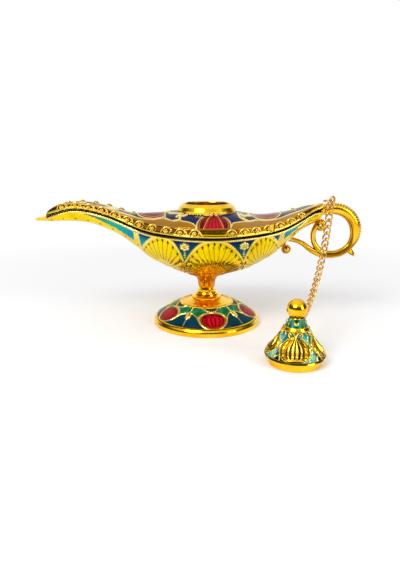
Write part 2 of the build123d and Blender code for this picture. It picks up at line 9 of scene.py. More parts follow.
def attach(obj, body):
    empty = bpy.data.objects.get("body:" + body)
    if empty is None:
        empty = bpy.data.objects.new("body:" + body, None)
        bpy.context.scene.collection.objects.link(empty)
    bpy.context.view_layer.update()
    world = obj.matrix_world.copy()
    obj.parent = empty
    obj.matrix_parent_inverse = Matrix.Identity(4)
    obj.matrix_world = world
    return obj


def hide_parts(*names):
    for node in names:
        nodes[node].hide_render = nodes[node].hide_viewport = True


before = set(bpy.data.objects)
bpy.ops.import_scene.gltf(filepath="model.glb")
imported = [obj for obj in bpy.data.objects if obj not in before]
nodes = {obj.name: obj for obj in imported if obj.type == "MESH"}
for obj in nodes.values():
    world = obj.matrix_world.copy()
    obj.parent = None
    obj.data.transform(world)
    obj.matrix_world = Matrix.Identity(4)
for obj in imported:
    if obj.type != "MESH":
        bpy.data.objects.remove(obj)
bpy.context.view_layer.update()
mm = 0.001


# shader and geometry sockets as plain maths

class Wire:
    # one socket of a node tree; make() adds any node that has no name of its own here
    def __init__(self, tree, socket=None):
        self.tree, self.socket = tree, socket

    def make(self, kind, settings=None, sockets=None, out=0):
        node = self.tree.nodes.new(kind)
        for name, value in (settings or {}).items():
            if name == "stops":
                setStops(node.color_ramp, value)
            else:
                setattr(node, name, value)
        for key, value in (sockets or {}).items():
            if isinstance(value, Wire):
                self.tree.links.new(value.socket, node.inputs[key])
            else:
                node.inputs[key].default_value = value
        return Wire(self.tree, node.outputs[out] if len(node.outputs) else None)

    def maths(self, operation, a, b=0.0):
        return self.make("ShaderNodeMath", {"operation": operation}, {0: a, 1: b})

    def __add__(self, other):
        return self.maths("ADD", self, other)

    def __radd__(self, other):
        return self.maths("ADD", other, self)

    def __sub__(self, other):
        return self.maths("SUBTRACT", self, other)

    def __rsub__(self, other):
        return self.maths("SUBTRACT", other, self)

    def __mul__(self, other):
        return self.maths("MULTIPLY", self, other)

    def __rmul__(self, other):
        return self.maths("MULTIPLY", other, self)

    def noise(self, place, scale, detail):
        return self.make("ShaderNodeTexNoise", {}, {"Vector": place, "Scale": scale, "Detail": detail})

    def ramp(self, value, *stops):
        return self.make("ShaderNodeValToRGB", {"stops": stops}, {0: value})

    def mixed(self, share, a, b, way="MIX"):
        settings = {"data_type": "RGBA", "blend_type": way}
        return self.make("ShaderNodeMix", settings, {0: share, 6: a, 7: b}, 2)

    def smoothStep(self, value, low, high):
        return self.make("ShaderNodeMapRange", {"interpolation_type": "SMOOTHSTEP"}, {
            "Value": value, "From Min": low, "From Max": high})

    def bump(self, height, strength, distance):
        return self.make("ShaderNodeBump", {}, {
            "Strength": strength, "Distance": distance, "Height": height})


def setStops(ramp, stops):
    while len(ramp.elements) < len(stops):
        ramp.elements.new(0.5)
    for element, (place, colour) in zip(ramp.elements, stops):
        element.position = place
        element.color = (*colour, 1)


def seen(red, green, blue):
    # a colour as it looks on screen, 0 to 255, turned into the light that Blender works in
    parts = [channel / 255 for channel in (red, green, blue)]
    return [p / 12.92 if p <= 0.04045 else ((p + 0.055) / 1.055) ** 2.4 for p in parts]


# colours as they look on screen
palette = {
    "gold": (255, 220, 4), "deepGold": (226, 140, 14), "paleGold": (255, 232, 134),
    "wireGold": (255, 226, 84), "richGold": (250, 196, 40), "copper": (255, 150, 8), "bronze": (176, 118, 6),
    "umber": (70, 30, 2), "soot": (28, 13, 3), "black": (4, 4, 6), "navy": (5, 10, 78),
    "royal": (6, 34, 112), "ink": (4, 8, 30), "blue": (4, 74, 116), "deepBlue": (4, 60, 92),
    "slate": (6, 60, 62), "teal": (0, 120, 110), "cyan": (8, 158, 186), "iceBlue": (80, 240, 232),
    "aqua": (24, 190, 168), "green": (8, 104, 66), "leafGreen": (20, 150, 90), "forest": (4, 58, 40),
    "wine": (86, 2, 16), "ruby": (146, 4, 26), "scarlet": (214, 14, 38)}
palette = {name: seen(*value) for name, value in palette.items()}

metalLooks = {
    "polishedGold": {"deep": (246, 178, 24), "body": (255, 210, 42), "pale": (255, 224, 74),
                     "drift": 45.0, "grain": 420.0, "bump": 0.12, "rough": 0.1, "spread": 0.1},
    "chainGold": {"deep": (206, 160, 84), "body": (232, 190, 112), "pale": (250, 220, 150),
                  "drift": 160.0, "grain": 700.0, "bump": 0.1, "rough": 0.16, "spread": 0.12},
    "ornamentGold": {"deep": (240, 186, 60), "body": (255, 220, 96), "pale": (255, 236, 150),
                     "drift": 130.0, "grain": 800.0, "bump": 0.1, "rough": 0.12, "spread": 0.1},
    "darkGold": {"deep": (50, 26, 4), "body": (84, 44, 8), "pale": (120, 70, 16),
                 "drift": 90.0, "grain": 500.0, "bump": 0.15, "rough": 0.25, "spread": 0.15},
    "screwSteel": {"deep": (150, 150, 150), "body": (190, 190, 188), "pale": (214, 214, 210),
                   "drift": 90.0, "grain": 500.0, "bump": 0.2, "rough": 0.22, "spread": 0.16}}

enamelLooks = {
    "deckBlueEnamel": {"deep": "ink", "pale": "navy", "cloud": 60.0, "ripple": 240.0},
    "footTealEnamel": {"deep": "forest", "pale": "blue", "cloud": 50.0, "ripple": 240.0},
    "lidCyanEnamel": {"deep": "teal", "pale": "cyan", "cloud": 80.0, "ripple": 260.0},
    "lidGreenEnamel": {"deep": "forest", "pale": "green", "cloud": 90.0, "ripple": 260.0}}


def startMaterial(name):
    # a bare material, its wire, and the object coordinates that every pattern reads
    material = bpy.data.materials.new(name)
    material.use_nodes = True
    material.node_tree.nodes.clear()
    wire = Wire(material.node_tree)
    return material, wire, wire.make("ShaderNodeTexCoord", {}, {}, "Object")


def endMaterial(wire, sockets):
    shader = wire.make("ShaderNodeBsdfPrincipled", {}, sockets)
    wire.make("ShaderNodeOutputMaterial", {}, {0: shader})


def makeMetal(name, look):
    # polished plate: a warm drift of colour, faint hammering, fine dulling from handling
    material, wire, place = startMaterial(name)
    grain = wire.noise(place, look["grain"], 4.0)
    colour = wire.ramp(wire.noise(place, look["drift"], 2.0), *(
        (at, seen(*look[tone])) for at, tone in ((0.3, "deep"), (0.55, "body"), (0.8, "pale"))))
    endMaterial(wire, {
        "Base Color": colour, "Metallic": 1.0, "Roughness": look["rough"] + grain * look["spread"],
        "Normal": wire.bump(grain, look["bump"], 0.0004)})
    return material


def makeEnamel(name, look):
    # glassy enamel: cloudy colour, tiny ripples, wet clear top
    material, wire, place = startMaterial(name)
    ripple = wire.noise(place, look["ripple"], 2.0)
    colour = wire.ramp(wire.noise(place, look["cloud"], 3.0),
                       (0.3, palette[look["deep"]]), (0.7, palette[look["pale"]]))
    endMaterial(wire, {
        "Base Color": colour, "Roughness": 0.12 + ripple * 0.08, "Normal": wire.bump(ripple, 0.1, 0.0004),
        "Coat Weight": 0.06, "Coat Roughness": 0.03, "Specular IOR Level": 0.05})
    return material


materials = {name: makeMetal(name, look) for name, look in metalLooks.items()}
materials.update({name: makeEnamel(name, look) for name, look in enamelLooks.items()})

finishes = {
    "deck_enamel": "deckBlueEnamel", "foot_enamel": "footTealEnamel", "lid_enamel": "lidCyanEnamel",
    "lid_neck_enamel": "lidGreenEnamel", "handle_screw": "screwSteel", "foot_screw": "screwSteel",
    "foot_washer": "screwSteel", "lid_knob_screw": "screwSteel", "chain_eye": "chainGold",
    "jump_ring": "chainGold", "lid_eyelet": "chainGold"}


def finishNode(node, material):
    node.data.materials.clear()
    node.data.materials.append(material)
    node.data.polygons.foreach_set("material_index", [0] * len(node.data.polygons))


for nodeName, node in nodes.items():
    usual = "chainGold" if nodeName.startswith("chain_link") else "polishedGold"
    finishNode(node, materials[finishes.get(nodeName, usual)])
print("finishes set")


# surface probing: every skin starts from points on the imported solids

aloft = 0.2                                                   # a height above every piece


def surfaceTree(*names):
    points, faces = [], []
    for name in names:
        mesh = nodes[name].data
        start = len(points)
        points += [vertex.co.copy() for vertex in mesh.vertices]
        faces += [[start + corner for corner in face.vertices] for face in mesh.polygons]
    return BVHTree.FromPolygons(points, faces)


def hit(tree, start, way):
    return tree.ray_cast(Vector(start), Vector(way))[0]


def sideSection(tree, x, centreZ, angles, reach=0.09):
    # outer points of a section at x, from rays towards (x, 0, centreZ); angles count down from level
    points = []
    for angle in angles:
        cos, sin = math.cos(angle), math.sin(angle)
        found = hit(tree, (x, -reach * cos, centreZ - reach * sin), (0, cos, sin))
        if found:
            points.append(found)
    return points


def edgeAt(tree, x, widest=0.045, step=0.00015):
    # half width and height of the outermost point that a ray from above meets
    y = widest
    while y > 0:
        found = hit(tree, (x, -y, aloft), (0, 0, -1))
        if found:
            return y, found.z
        y -= step
    return 0.0, 0.0


def evenly(points, count):
    # the same line with count points at even spacing
    points = np.array(points)
    steps = np.r_[0, np.cumsum(np.linalg.norm(np.diff(points, axis=0), axis=1))]
    wanted = np.linspace(0, steps[-1], count)
    return np.stack([np.interp(wanted, steps, points[:, k]) for k in range(3)], axis=1), steps[-1]


def smoothed(values, rounds=1):
    for _ in range(rounds):
        inner = (values[:-2] + 2 * values[1:-1] + values[2:]) / 4
        values = np.concatenate([values[:1], inner, values[-1:]])
    return values


def gridNormals(grid, flip=1):
    normals = np.cross(np.gradient(grid, axis=0), np.gradient(grid, axis=1)) * flip
    return normals / np.maximum(np.linalg.norm(normals, axis=2, keepdims=True), 1e-12)


def wrapNormals(grid):
    # the first and last rows of a ring lie on each other, so they share a normal
    normals = gridNormals(np.concatenate([grid[-2:-1], grid, grid[1:2]]))[1:-1]
    normals[0] = normals[-1] = (normals[0] + normals[-1]) / 2
    return normals


def ringGrid(tree, centre, around, levels, byHeight, reach=0.06, drop=0.016):
    # points round an upright axis; levels are heights met from reach away, or where byHeight is False
    # radii met from the height drop
    grid = np.zeros((around + 1, len(levels), 3))
    for i in range(around + 1):
        angle = 2 * math.pi * (i % around) / around
        cos, sin = math.cos(angle), math.sin(angle)
        for j, level in enumerate(levels):
            if byHeight:
                start = (centre[0] + reach * cos, centre[1] + reach * sin, level)
                found = hit(tree, start, (-cos, -sin, 0))
            else:
                found = hit(tree, (centre[0] + level * cos, centre[1] + level * sin, drop), (0, 0, -1))
            grid[i, j] = found if found else grid[i, j - 1]
    return grid


def columnsOf(sizes):
    return np.linspace(*sizes["ends"], sizes["columns"]) * mm


def sectionGrid(xs, sections):
    # the grid, mm along x, mm down each section, and the length of each
    grid = np.array([points for points, length in sections])
    lengths = np.array([length / mm for points, length in sections])
    shares = np.linspace(0, 1, grid.shape[1])[None, :]
    return grid, np.repeat(xs[:, None] / mm, grid.shape[1], axis=1), lengths[:, None] * shares, lengths


# ornament drawn on a skin: every shape is a distance in mm, below zero inside

nowhere = 9.0                                                 # a distance that no shape reaches


def held(value):
    # kept between 0 and 1
    return np.clip(value, 0, 1)


def strip(v, low, high):
    return -np.minimum(v - low, high - v)


def disc(u, v, cu, cv, r):
    return np.hypot(u - cu, v - cv) - r


def stroke(u, v, points, r):
    # a wire through points; r is its half width
    best = np.full(np.shape(u), 1e9)
    for (au, av), (bu, bv) in zip(points[:-1], points[1:]):
        du, dv = bu - au, bv - av
        share = held(((u - au) * du + (v - av) * dv) / max(du * du + dv * dv, 1e-9))
        best = np.minimum(best, np.hypot(u - au - share * du, v - av - share * dv))
    return best - r


def arcPoints(points, rounds=3):
    # rounds the corners of a wire
    for _ in range(rounds):
        cut = [points[0]]
        for a, b in zip(points[:-1], points[1:]):
            cut += [(0.75 * a[0] + 0.25 * b[0], 0.75 * a[1] + 0.25 * b[1]),
                    (0.25 * a[0] + 0.75 * b[0], 0.25 * a[1] + 0.75 * b[1])]
        points = cut + [points[-1]]
    return points


def blossom(u, v, cu, cv, petals, reach, r, turn=0.0):
    best = disc(u, v, cu, cv, reach * 0.45)
    for angle in (turn + 2 * math.pi * k / petals for k in range(petals)):
        best = np.minimum(best, disc(u, v, cu + reach * math.cos(angle), cv + reach * math.sin(angle), r))
    return best


def area(u, v, corners):
    # distance to the edge of a patch
    edge = stroke(u, v, list(corners) + [corners[0]], 0.0)
    inside = np.zeros(np.shape(u), bool)
    for (au, av), (bu, bv) in zip(corners, list(corners[1:]) + [corners[0]]):
        if av != bv:
            inside ^= ((av > v) != (bv > v)) & (u < (bu - au) * (v - av) / (bv - av) + au)
    return np.where(inside, -edge, edge)


def turnsFrom(angle, first, count):
    # angle to the nearest of count even places, in radians
    step = 2 * math.pi / count
    shifted = (angle - math.radians(first)) / step
    return (shifted - np.round(shifted)) * step


def blend(a, b, share):
    # from colour a to colour b; a colour is a name in the palette, or one value for every point
    a, b = (np.asarray(palette[c] if isinstance(c, str) else c) for c in (a, b))
    share = held(share)[..., None]
    return a * (1 - share) + b * share


class Skin:
    # a grid of surface points that ornament is raised from and painted on
    def __init__(self, grid, u, v, flip=1, ring=False):
        self.grid, self.u, self.v, self.flip, self.ring = grid, u, v, flip, ring
        self.normals = wrapNormals(grid) if ring else gridNormals(grid, flip)
        self.height, self.dark, self.metal = np.zeros(u.shape), np.zeros(u.shape), np.ones(u.shape)
        self.paint = np.tile(palette["gold"], u.shape + (1,))

    def stamp(self, d, height=0.0, colour=None, metal=None, edge=0.5, soft=0.25, dark=None, level=None):
        # raises a pillow with rounded shoulders, or with level sets a flat floor, and paints it
        inside = held(0.5 - d / soft)
        if level is not None:
            self.height = self.height * (1 - inside) + level * inside
        self.height = self.height + height * np.sqrt(held(-d / edge))
        if colour is not None:
            self.paint = blend(self.paint, colour, inside)
        if metal is not None:
            self.metal = self.metal * (1 - inside) + metal * inside
        if dark is not None:
            self.dark = self.dark * (1 - inside) + dark * inside

    def gild(self, d, height=0.0, tone="paleGold", **more):
        self.stamp(d, height, tone, 1, **more)

    def enamel(self, d, colour, wire=0.0, tone="paleGold"):
        # a sunk field of glass; wire is half the width of the gold wire round it
        self.stamp(d, colour=colour, metal=0, level=-0.22, dark=0)
        if wire:
            self.gild(np.abs(d) - wire, 0.28, tone, edge=wire, level=0.0)

    def hollows(self, strength, reach):
        # painted shade together with tarnish: the colour darkens where the relief is lower than what lies
        # around it
        around = self.height
        for _ in range(reach):
            padded = np.pad(around, 1, mode="edge")
            around = (padded[:-2, 1:-1] + padded[2:, 1:-1] + padded[1:-1, :-2] + padded[1:-1, 2:]) / 4
        shadeAndTarnish = np.clip((around - self.height) * strength, 0, 0.8) * self.metal
        self.dark = held(self.dark + shadeAndTarnish)

    def build(self, name, lift, keep=None, sink=0.0, sides=True):
        # the outer edges are sunk into the solid; with sides off only the ends along x are
        rows, columns = self.u.shape
        place = self.grid + self.normals * ((self.height + lift)[..., None] * mm)
        if sink:
            for edge in (np.s_[0, :], np.s_[-1, :], np.s_[:, 0], np.s_[:, -1])[:4 if sides else 2]:
                place[edge] = self.grid[edge] - self.normals[edge] * sink * mm
        index = np.arange(rows * columns).reshape(rows, columns)
        if self.ring:
            index[-1] = index[0]                              # closes the seam
        quads = np.stack([index[:-1, :-1], index[1:, :-1], index[1:, 1:], index[:-1, 1:]], axis=-1)
        quads = quads.reshape(-1, 4)
        if keep is not None:
            quads = quads[keep.ravel()[quads].all(axis=1)]
        used = np.unique(quads)
        renumber = np.full(rows * columns, -1)
        renumber[used] = np.arange(len(used))
        mesh = bpy.data.meshes.new(name)
        mesh.from_pydata(place.reshape(-1, 3)[used].tolist(), [], renumber[quads].tolist())
        colours = np.c_[self.paint.reshape(-1, 3), np.ones(rows * columns)]
        for layerName, kind, field, values in (
                ("paint", "FLOAT_COLOR", "color", colours),
                ("metal", "FLOAT", "value", self.metal.ravel()),
                ("dark", "FLOAT", "value", self.dark.ravel())):
            layer = mesh.attributes.new(layerName, kind, "POINT")
            layer.data.foreach_set(field, np.ravel(values[used]).astype(np.float32))
        mesh.shade_smooth()
        if self.flip < 0:
            mesh.flip_normals()
        piece = bpy.data.objects.new(name, mesh)
        bpy.context.scene.collection.objects.link(piece)
        return piece


def makeSkinFinish(name, look):
    # reads the painted colour; gold where metal is 1, wet glass where it is 0, and a near black brown where
    # it is dark, which is painted shade with tarnish in the hollows
    material, wire, place = startMaterial(name)
    paint = wire.make("ShaderNodeAttribute", {"attribute_name": "paint"}, {}, "Color")
    metal, dark = (wire.make("ShaderNodeAttribute", {"attribute_name": layer}, {}, "Fac")
                   for layer in ("metal", "dark"))
    grain = wire.noise(place, look["grain"], 3.0)
    cloud = wire.ramp(wire.noise(place, look["cloud"], 3.0), (0.3, (0.62, 0.6, 0.6)), (0.65, (1, 1, 1)))
    shaded = wire.mixed(0.5, paint, cloud, "MULTIPLY")
    endMaterial(wire, {
        "Base Color": wire.mixed(dark, shaded, (*palette["soot"], 1)), "Metallic": metal,
        "Roughness": look["rough"] + dark * 0.3 + grain * 0.1 * metal,
        "Coat Weight": (1 - metal) * (1 - dark) * 0.06, "Coat Roughness": 0.04, "Specular IOR Level": 0.04,
        "Normal": wire.bump(grain, look["bump"], 0.0003)})
    return material


materials["reliefAndEnamel"] = makeSkinFinish("reliefAndEnamel", {
    "cloud": 90.0, "grain": 600.0, "bump": 0.15, "rough": 0.1})


def dress(piece, material, body="lamp"):
    piece.data.materials.clear()
    piece.data.materials.append(materials[material])
    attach(piece, body)


# hull: fans, enamelled triangles between them, long fields that thin out along the rim, plain neck

hullTree = surfaceTree("hull")

hullSizes = {
    "ends": (-112.0, 79.6), "columns": 480, "rows": 118, "rays": 150, "seamDrop": 0.1,
    "lift": 0.34, "sink": 0.2,
    "neckHalf": 13.0, "neckTop": 38.0, "warmTop": 49.0, "fluteHeight": 0.42, "border": 0.45,
    "seamLine": 0.8, "beadLine": 1.35, "beadPitch": 1.25, "beadRadius": 0.55, "topLine": 2.0,
    # a fan is centred x along and t down the section, t being a share of it
    "fans": ({"x": 4.5, "t": 0.65, "reach": 21.0, "flutes": 15},
             {"x": -29.2, "t": 0.79, "reach": 16.3, "flutes": 13},
             {"x": 36.7, "t": 0.79, "reach": 14.0, "flutes": 12}),
    "flowers": ((-14.7, 1), (24.0, 2)), "flowerDepth": 6.0,
    "drops": ((10.7, 0.5), (12.6, 0.7), (14.6, 0.55)),
    "tails": ({"fan": 1, "side": -1, "kite": -46.6, "crown": -48.4, "tip": -89.5, "deep": 7.6},
              {"fan": 2, "side": 1, "kite": 48.6, "crown": 50.4, "tip": 71.5, "deep": 6.4}),
    "crownPearls": ((2.3, 0.9, 0.9), (2.5, -1.2, 0.9), (3.9, -0.1, 1.15), (5.6, 0.9, 0.75),
                    (5.5, -1.0, 0.75), (7.1, 0.1, 0.9), (8.6, 0.3, 0.55)),
    "punches": {"first": -108.5, "pitch": 8.7, "count": 8, "t": 0.52, "radius": 0.55}}


def seamHeights(xs, rounds=6):
    return smoothed(np.array([edgeAt(hullTree, x)[1] for x in xs]), rounds)


def hullGrid():
    sizes = hullSizes
    xs = columnsOf(sizes)
    angles = np.linspace(0.0, math.pi / 2, sizes["rays"])
    grid, u, s, lengths = sectionGrid(xs, [
        evenly(sideSection(hullTree, x, seam - sizes["seamDrop"] * mm, angles), sizes["rows"])
        for x, seam in zip(xs, seamHeights(xs))])
    outside = np.abs(xs / mm) > sizes["neckHalf"]
    plain = np.interp(xs, xs[outside], smoothed(lengths[outside], 3))   # as if the neck weren't there
    return grid, u, s, s / plain[:, None], plain


hullPoints, hullU, hullS, hullT, hullLength = hullGrid()
print("hull measured")


# shares of a fan's radius, from its foot outwards
fanSizes = {
    "scaleFrom": 0.04, "scaleRow": 0.095, "scaleTo": 0.32, "fluteFrom": 0.3, "grooveFrom": 0.36,
    "grooveTo": 0.88, "notchFrom": 0.86, "notchTo": 0.945, "tip": 0.915, "tipDip": 0.09, "wire": 0.975,
    # these are mm
    "ribHeight": 0.14, "scaleHeight": 0.36, "lineHalf": 0.22}


def drawFan(skin, t, fan):
    # scales at the foot, flutes with dark notches between their tips, a wire round it;
    # returns the distance to the wire
    size, flutes, look = fan["reach"], fan["flutes"], fanSizes
    du, dv = (skin.u - fan["x"]) / size, (fan["t"] - t) / fan["t"]
    rho, angle = np.hypot(du, dv), np.arctan2(dv, du)
    phase = angle / math.pi * flutes
    offset = phase - np.round(phase)                          # 0 at the middle of a flute, 0.5 in a groove
    fromGroove = (0.5 - np.abs(offset)) * math.pi / flutes * rho * size
    tip = look["tip"] - look["tipDip"] * (2 * offset) ** 2
    flute = hullSizes["fluteHeight"] * np.sqrt(held(1 - (2.05 * offset) ** 2))
    rib = held(1 - np.abs(offset) * rho * size * math.pi / flutes / look["lineHalf"]) * look["ribHeight"]
    fade = held((tip - rho) * size / 0.5) * held((rho - look["fluteFrom"]) / 0.08)
    skin.height += np.where(rho < 1, (flute + rib) * fade, 0)
    # painted shade: the notches between the flute tips and the grooves between the flutes are darkened
    notch = held((np.abs(offset) - 0.3) / 0.08) * held((rho - look["notchFrom"]) / 0.03)
    notch *= held((look["notchTo"] - rho) / 0.02)
    groove = held(1.2 - fromGroove / look["lineHalf"])
    groove *= held((rho - look["grooveFrom"]) / 0.06) * (rho < look["grooveTo"])
    skin.dark = np.maximum(skin.dark, np.maximum(0.92 * notch, 0.5 * groove))
    scaleRow = (rho - look["scaleFrom"]) / look["scaleRow"]
    row = np.floor(scaleRow)
    scalePhase = angle / math.pi * (4 + 2 * row) + 0.5 * (row % 2)
    scaleOff = scalePhase - np.round(scalePhase)
    scale = np.sqrt(held(1 - (2 * scaleOff) ** 2) * held(1 - (scaleRow - row)))
    skin.height += np.where(rho < look["scaleTo"], look["scaleHeight"] * scale, 0)
    border = hullSizes["border"]
    rim = np.where(t < 1.05, np.abs(rho - look["wire"]) * size - border, 1e3)
    skin.gild(rim, 0.3, "wireGold", edge=border, level=0.05, dark=0)
    return (rho - 1) * size


def drawTriangle(skin, t, flower, near, far):
    # navy to teal between two fans, with a flower and drops under it
    u, s, depth = skin.u, skin.v, hullSizes["flowerDepth"]
    inside = np.minimum(np.minimum(near, far) - 0.25, s - hullSizes["topLine"])
    between = (np.abs(u - flower) < 16) & (t < 0.62)
    colour = blend(blend("navy", "teal", (s - 2) / 14), "blue", held(1 - np.abs(s - 8) / 6) * 0.5)
    skin.enamel(np.where(between, -inside, 1e3), colour)
    skin.gild(blossom(u, s, flower, depth, 6, 2.05, 1.12, math.pi / 6), 0.5, edge=0.8, level=0.05)
    skin.gild(disc(u, s, flower, depth, 0.8), 0.3, "gold", edge=0.8)
    for drop, r in hullSizes["drops"]:
        skin.gild(disc(u, s, flower, drop, r), 0.5, edge=r)


def drawTail(skin, t, tail, outside):
    # a kite beside the outer fan, pearls, then a long field that thins out along the rim
    u, s, side, top = skin.u, skin.v, tail["side"], hullSizes["topLine"]
    run = (u - tail["kite"]) * side                           # counts outwards from the kite's outer edge
    inside = np.minimum(np.minimum(outside - 0.3, s - top), -(run + (s - top) * 0.12))
    skin.enamel(np.where((run > -14) & (t < 0.9), -inside, 1e3), blend("navy", "cyan", (s - 2) / 7), 0.28)
    start = tail["crown"] + side * 1.2
    share = held((tail["tip"] - u) / (tail["tip"] - start))
    floor = top + tail["deep"] * share ** 1.25 + 0.25 * np.sin(u * 1.5) * share
    inside = np.minimum(np.minimum(floor - s, s - top), (u - start) * side)
    far = (1 - share)[..., None]
    colour = sum(np.asarray(palette[tone]) * held(weight) for tone, weight in (
        ("cyan", 1 - 2.6 * far), ("aqua", 1 - np.abs(far - 0.42) * 2.6), ("forest", 2.2 * far - 1.1)))
    skin.enamel(np.where(share > 0, -inside, 1e3), colour, 0.28)
    for rise, drift, r in hullSizes["crownPearls"]:
        skin.gild(disc(u, s, tail["crown"] + drift * side, rise, r), 0.45, edge=r, level=0.1)


def drawHull(skin, t, plain):
    sizes, u, s = hullSizes, skin.u, skin.v
    fans = [drawFan(skin, t, fan) for fan in sizes["fans"]]
    for flower, outer in sizes["flowers"]:
        drawTriangle(skin, t, flower, fans[0], fans[outer])
    for tail in sizes["tails"]:
        drawTail(skin, t, tail, fans[tail["fan"]])
    # painted shade: the punched dots are darkened as well as sunk
    punch = sizes["punches"]
    for k in range(punch["count"]):
        away = np.hypot(u - (punch["first"] + punch["pitch"] * k), (t - punch["t"]) * plain[:, None])
        skin.stamp(away - punch["radius"], colour="soot", metal=0.6, level=-0.3, dark=0.9)
    # the neck stays plain; low on the hull round the neck the gold is painted copper and less metallic, a
    # painted reflection of the gold below
    height = skin.grid[..., 2] / mm
    low = held((sizes["neckTop"] - height) / 4) * (np.abs(u) < sizes["neckHalf"] + 4)
    skin.height *= 1 - low
    skin.dark *= 1 - low
    neckReflection = held((sizes["warmTop"] - height) / 11) * held((26 - np.abs(u)) / 9)
    skin.paint = blend(skin.paint, "copper", neckReflection * 0.9)
    skin.metal *= 1 - 0.45 * neckReflection
    # rim: dark seam, then a line of pearls
    phase = u / sizes["beadPitch"]
    off = (phase - np.round(phase)) * sizes["beadPitch"]
    skin.stamp(s - sizes["seamLine"], colour="black", metal=0, level=-0.1, dark=1)
    skin.gild(np.abs(s - sizes["beadLine"]) - 0.5, 0.15, edge=0.4, level=0.0, dark=0)
    skin.gild(np.hypot(off, s - sizes["beadLine"]) - sizes["beadRadius"], 0.4, edge=0.5)
    skin.hollows(1.3, 5)


def bothSides(points):
    # the probed side, which is the near one, and its mirror image
    return ("near", -1, points), ("far", 1, points * np.array([1, -1, 1]))


def dressHull():
    for name, side, grid in bothSides(hullPoints):
        skin = Skin(grid, hullU, hullS, flip=side)
        drawHull(skin, hullT, hullLength)
        piece = skin.build("hull_relief_" + name, hullSizes["lift"], sink=hullSizes["sink"], sides=False)
        dress(piece, "reliefAndEnamel")


dressHull()
print("hull dressed")


# repeated ornament, set on points by Geometry Nodes

def tubeMesh(lines, sides=6):
    # tapered rods: each line is a list of (x, y, z, radius) in mm
    points, faces = [], []
    for line in lines:
        line = np.array(line, float)
        start, count = len(points), len(line)
        for (x, y, z, r), way in zip(line, np.gradient(line[:, :3], axis=0)):
            way = Vector(way).normalized()
            across = way.cross(Vector((0, 0, 1))).normalized()
            up = across.cross(way).normalized()
            for angle in (2 * math.pi * k / sides for k in range(sides)):
                points.append(Vector((x, y, z)) + across * r * math.cos(angle) + up * r * math.sin(angle))
        for i in range(count - 1):
            for k in range(sides):
                a, b = start + i * sides + k, start + i * sides + (k + 1) % sides
                faces.append((a, b, b + sides, a + sides))
        faces.append(tuple(start + k for k in range(sides))[::-1])
        faces.append(tuple(start + (count - 1) * sides + k for k in range(sides)))
    return points, faces


def pearlMesh(places, around=7, rings=4):
    # half buried pearls: each place is (x, y, z, radius) in mm
    points, faces = [], []
    for x, y, z, r in places:
        start = len(points)
        for ring in range(rings):
            lift = math.pi * (ring / rings * 0.72 - 0.22)
            flat, level = r * math.cos(lift), z + r * math.sin(lift)
            for angle in (2 * math.pi * k / around for k in range(around)):
                points.append((x + flat * math.cos(angle), y + flat * math.sin(angle), level))
        points.append((x, y, z + r))
        for ring in range(rings - 1):
            for k in range(around):
                a, b = start + ring * around + k, start + ring * around + (k + 1) % around
                faces.append((a, b, b + around, a + around))
        last = start + (rings - 1) * around
        faces += [(last + k, last + (k + 1) % around, start + rings * around) for k in range(around)]
        faces.append(tuple(start + k for k in range(around))[::-1])
    return points, faces


def meshPiece(name, *parts, flip=1):
    # joins lists of points and faces in mm; flip -1 mirrors along x
    points, faces = [], []
    for partPoints, partFaces in parts:
        start = len(points)
        points += [(p[0] * flip * mm, p[1] * mm, p[2] * mm) for p in partPoints]
        faces += [tuple(start + i for i in (face if flip > 0 else face[::-1])) for face in partFaces]
    mesh = bpy.data.meshes.new(name)
    mesh.from_pydata(points, [], faces)
    mesh.shade_smooth()
    piece = bpy.data.objects.new(name, mesh)
    bpy.context.scene.collection.objects.link(piece)
    return piece


def turnFor(along, out):
    # the euler turn whose z is out, and whose x runs along
    out = Vector(out).normalized()
    along = (Vector(along) - out * Vector(along).dot(out)).normalized()
    return tuple(Matrix((along, out.cross(along), out)).transposed().to_euler())


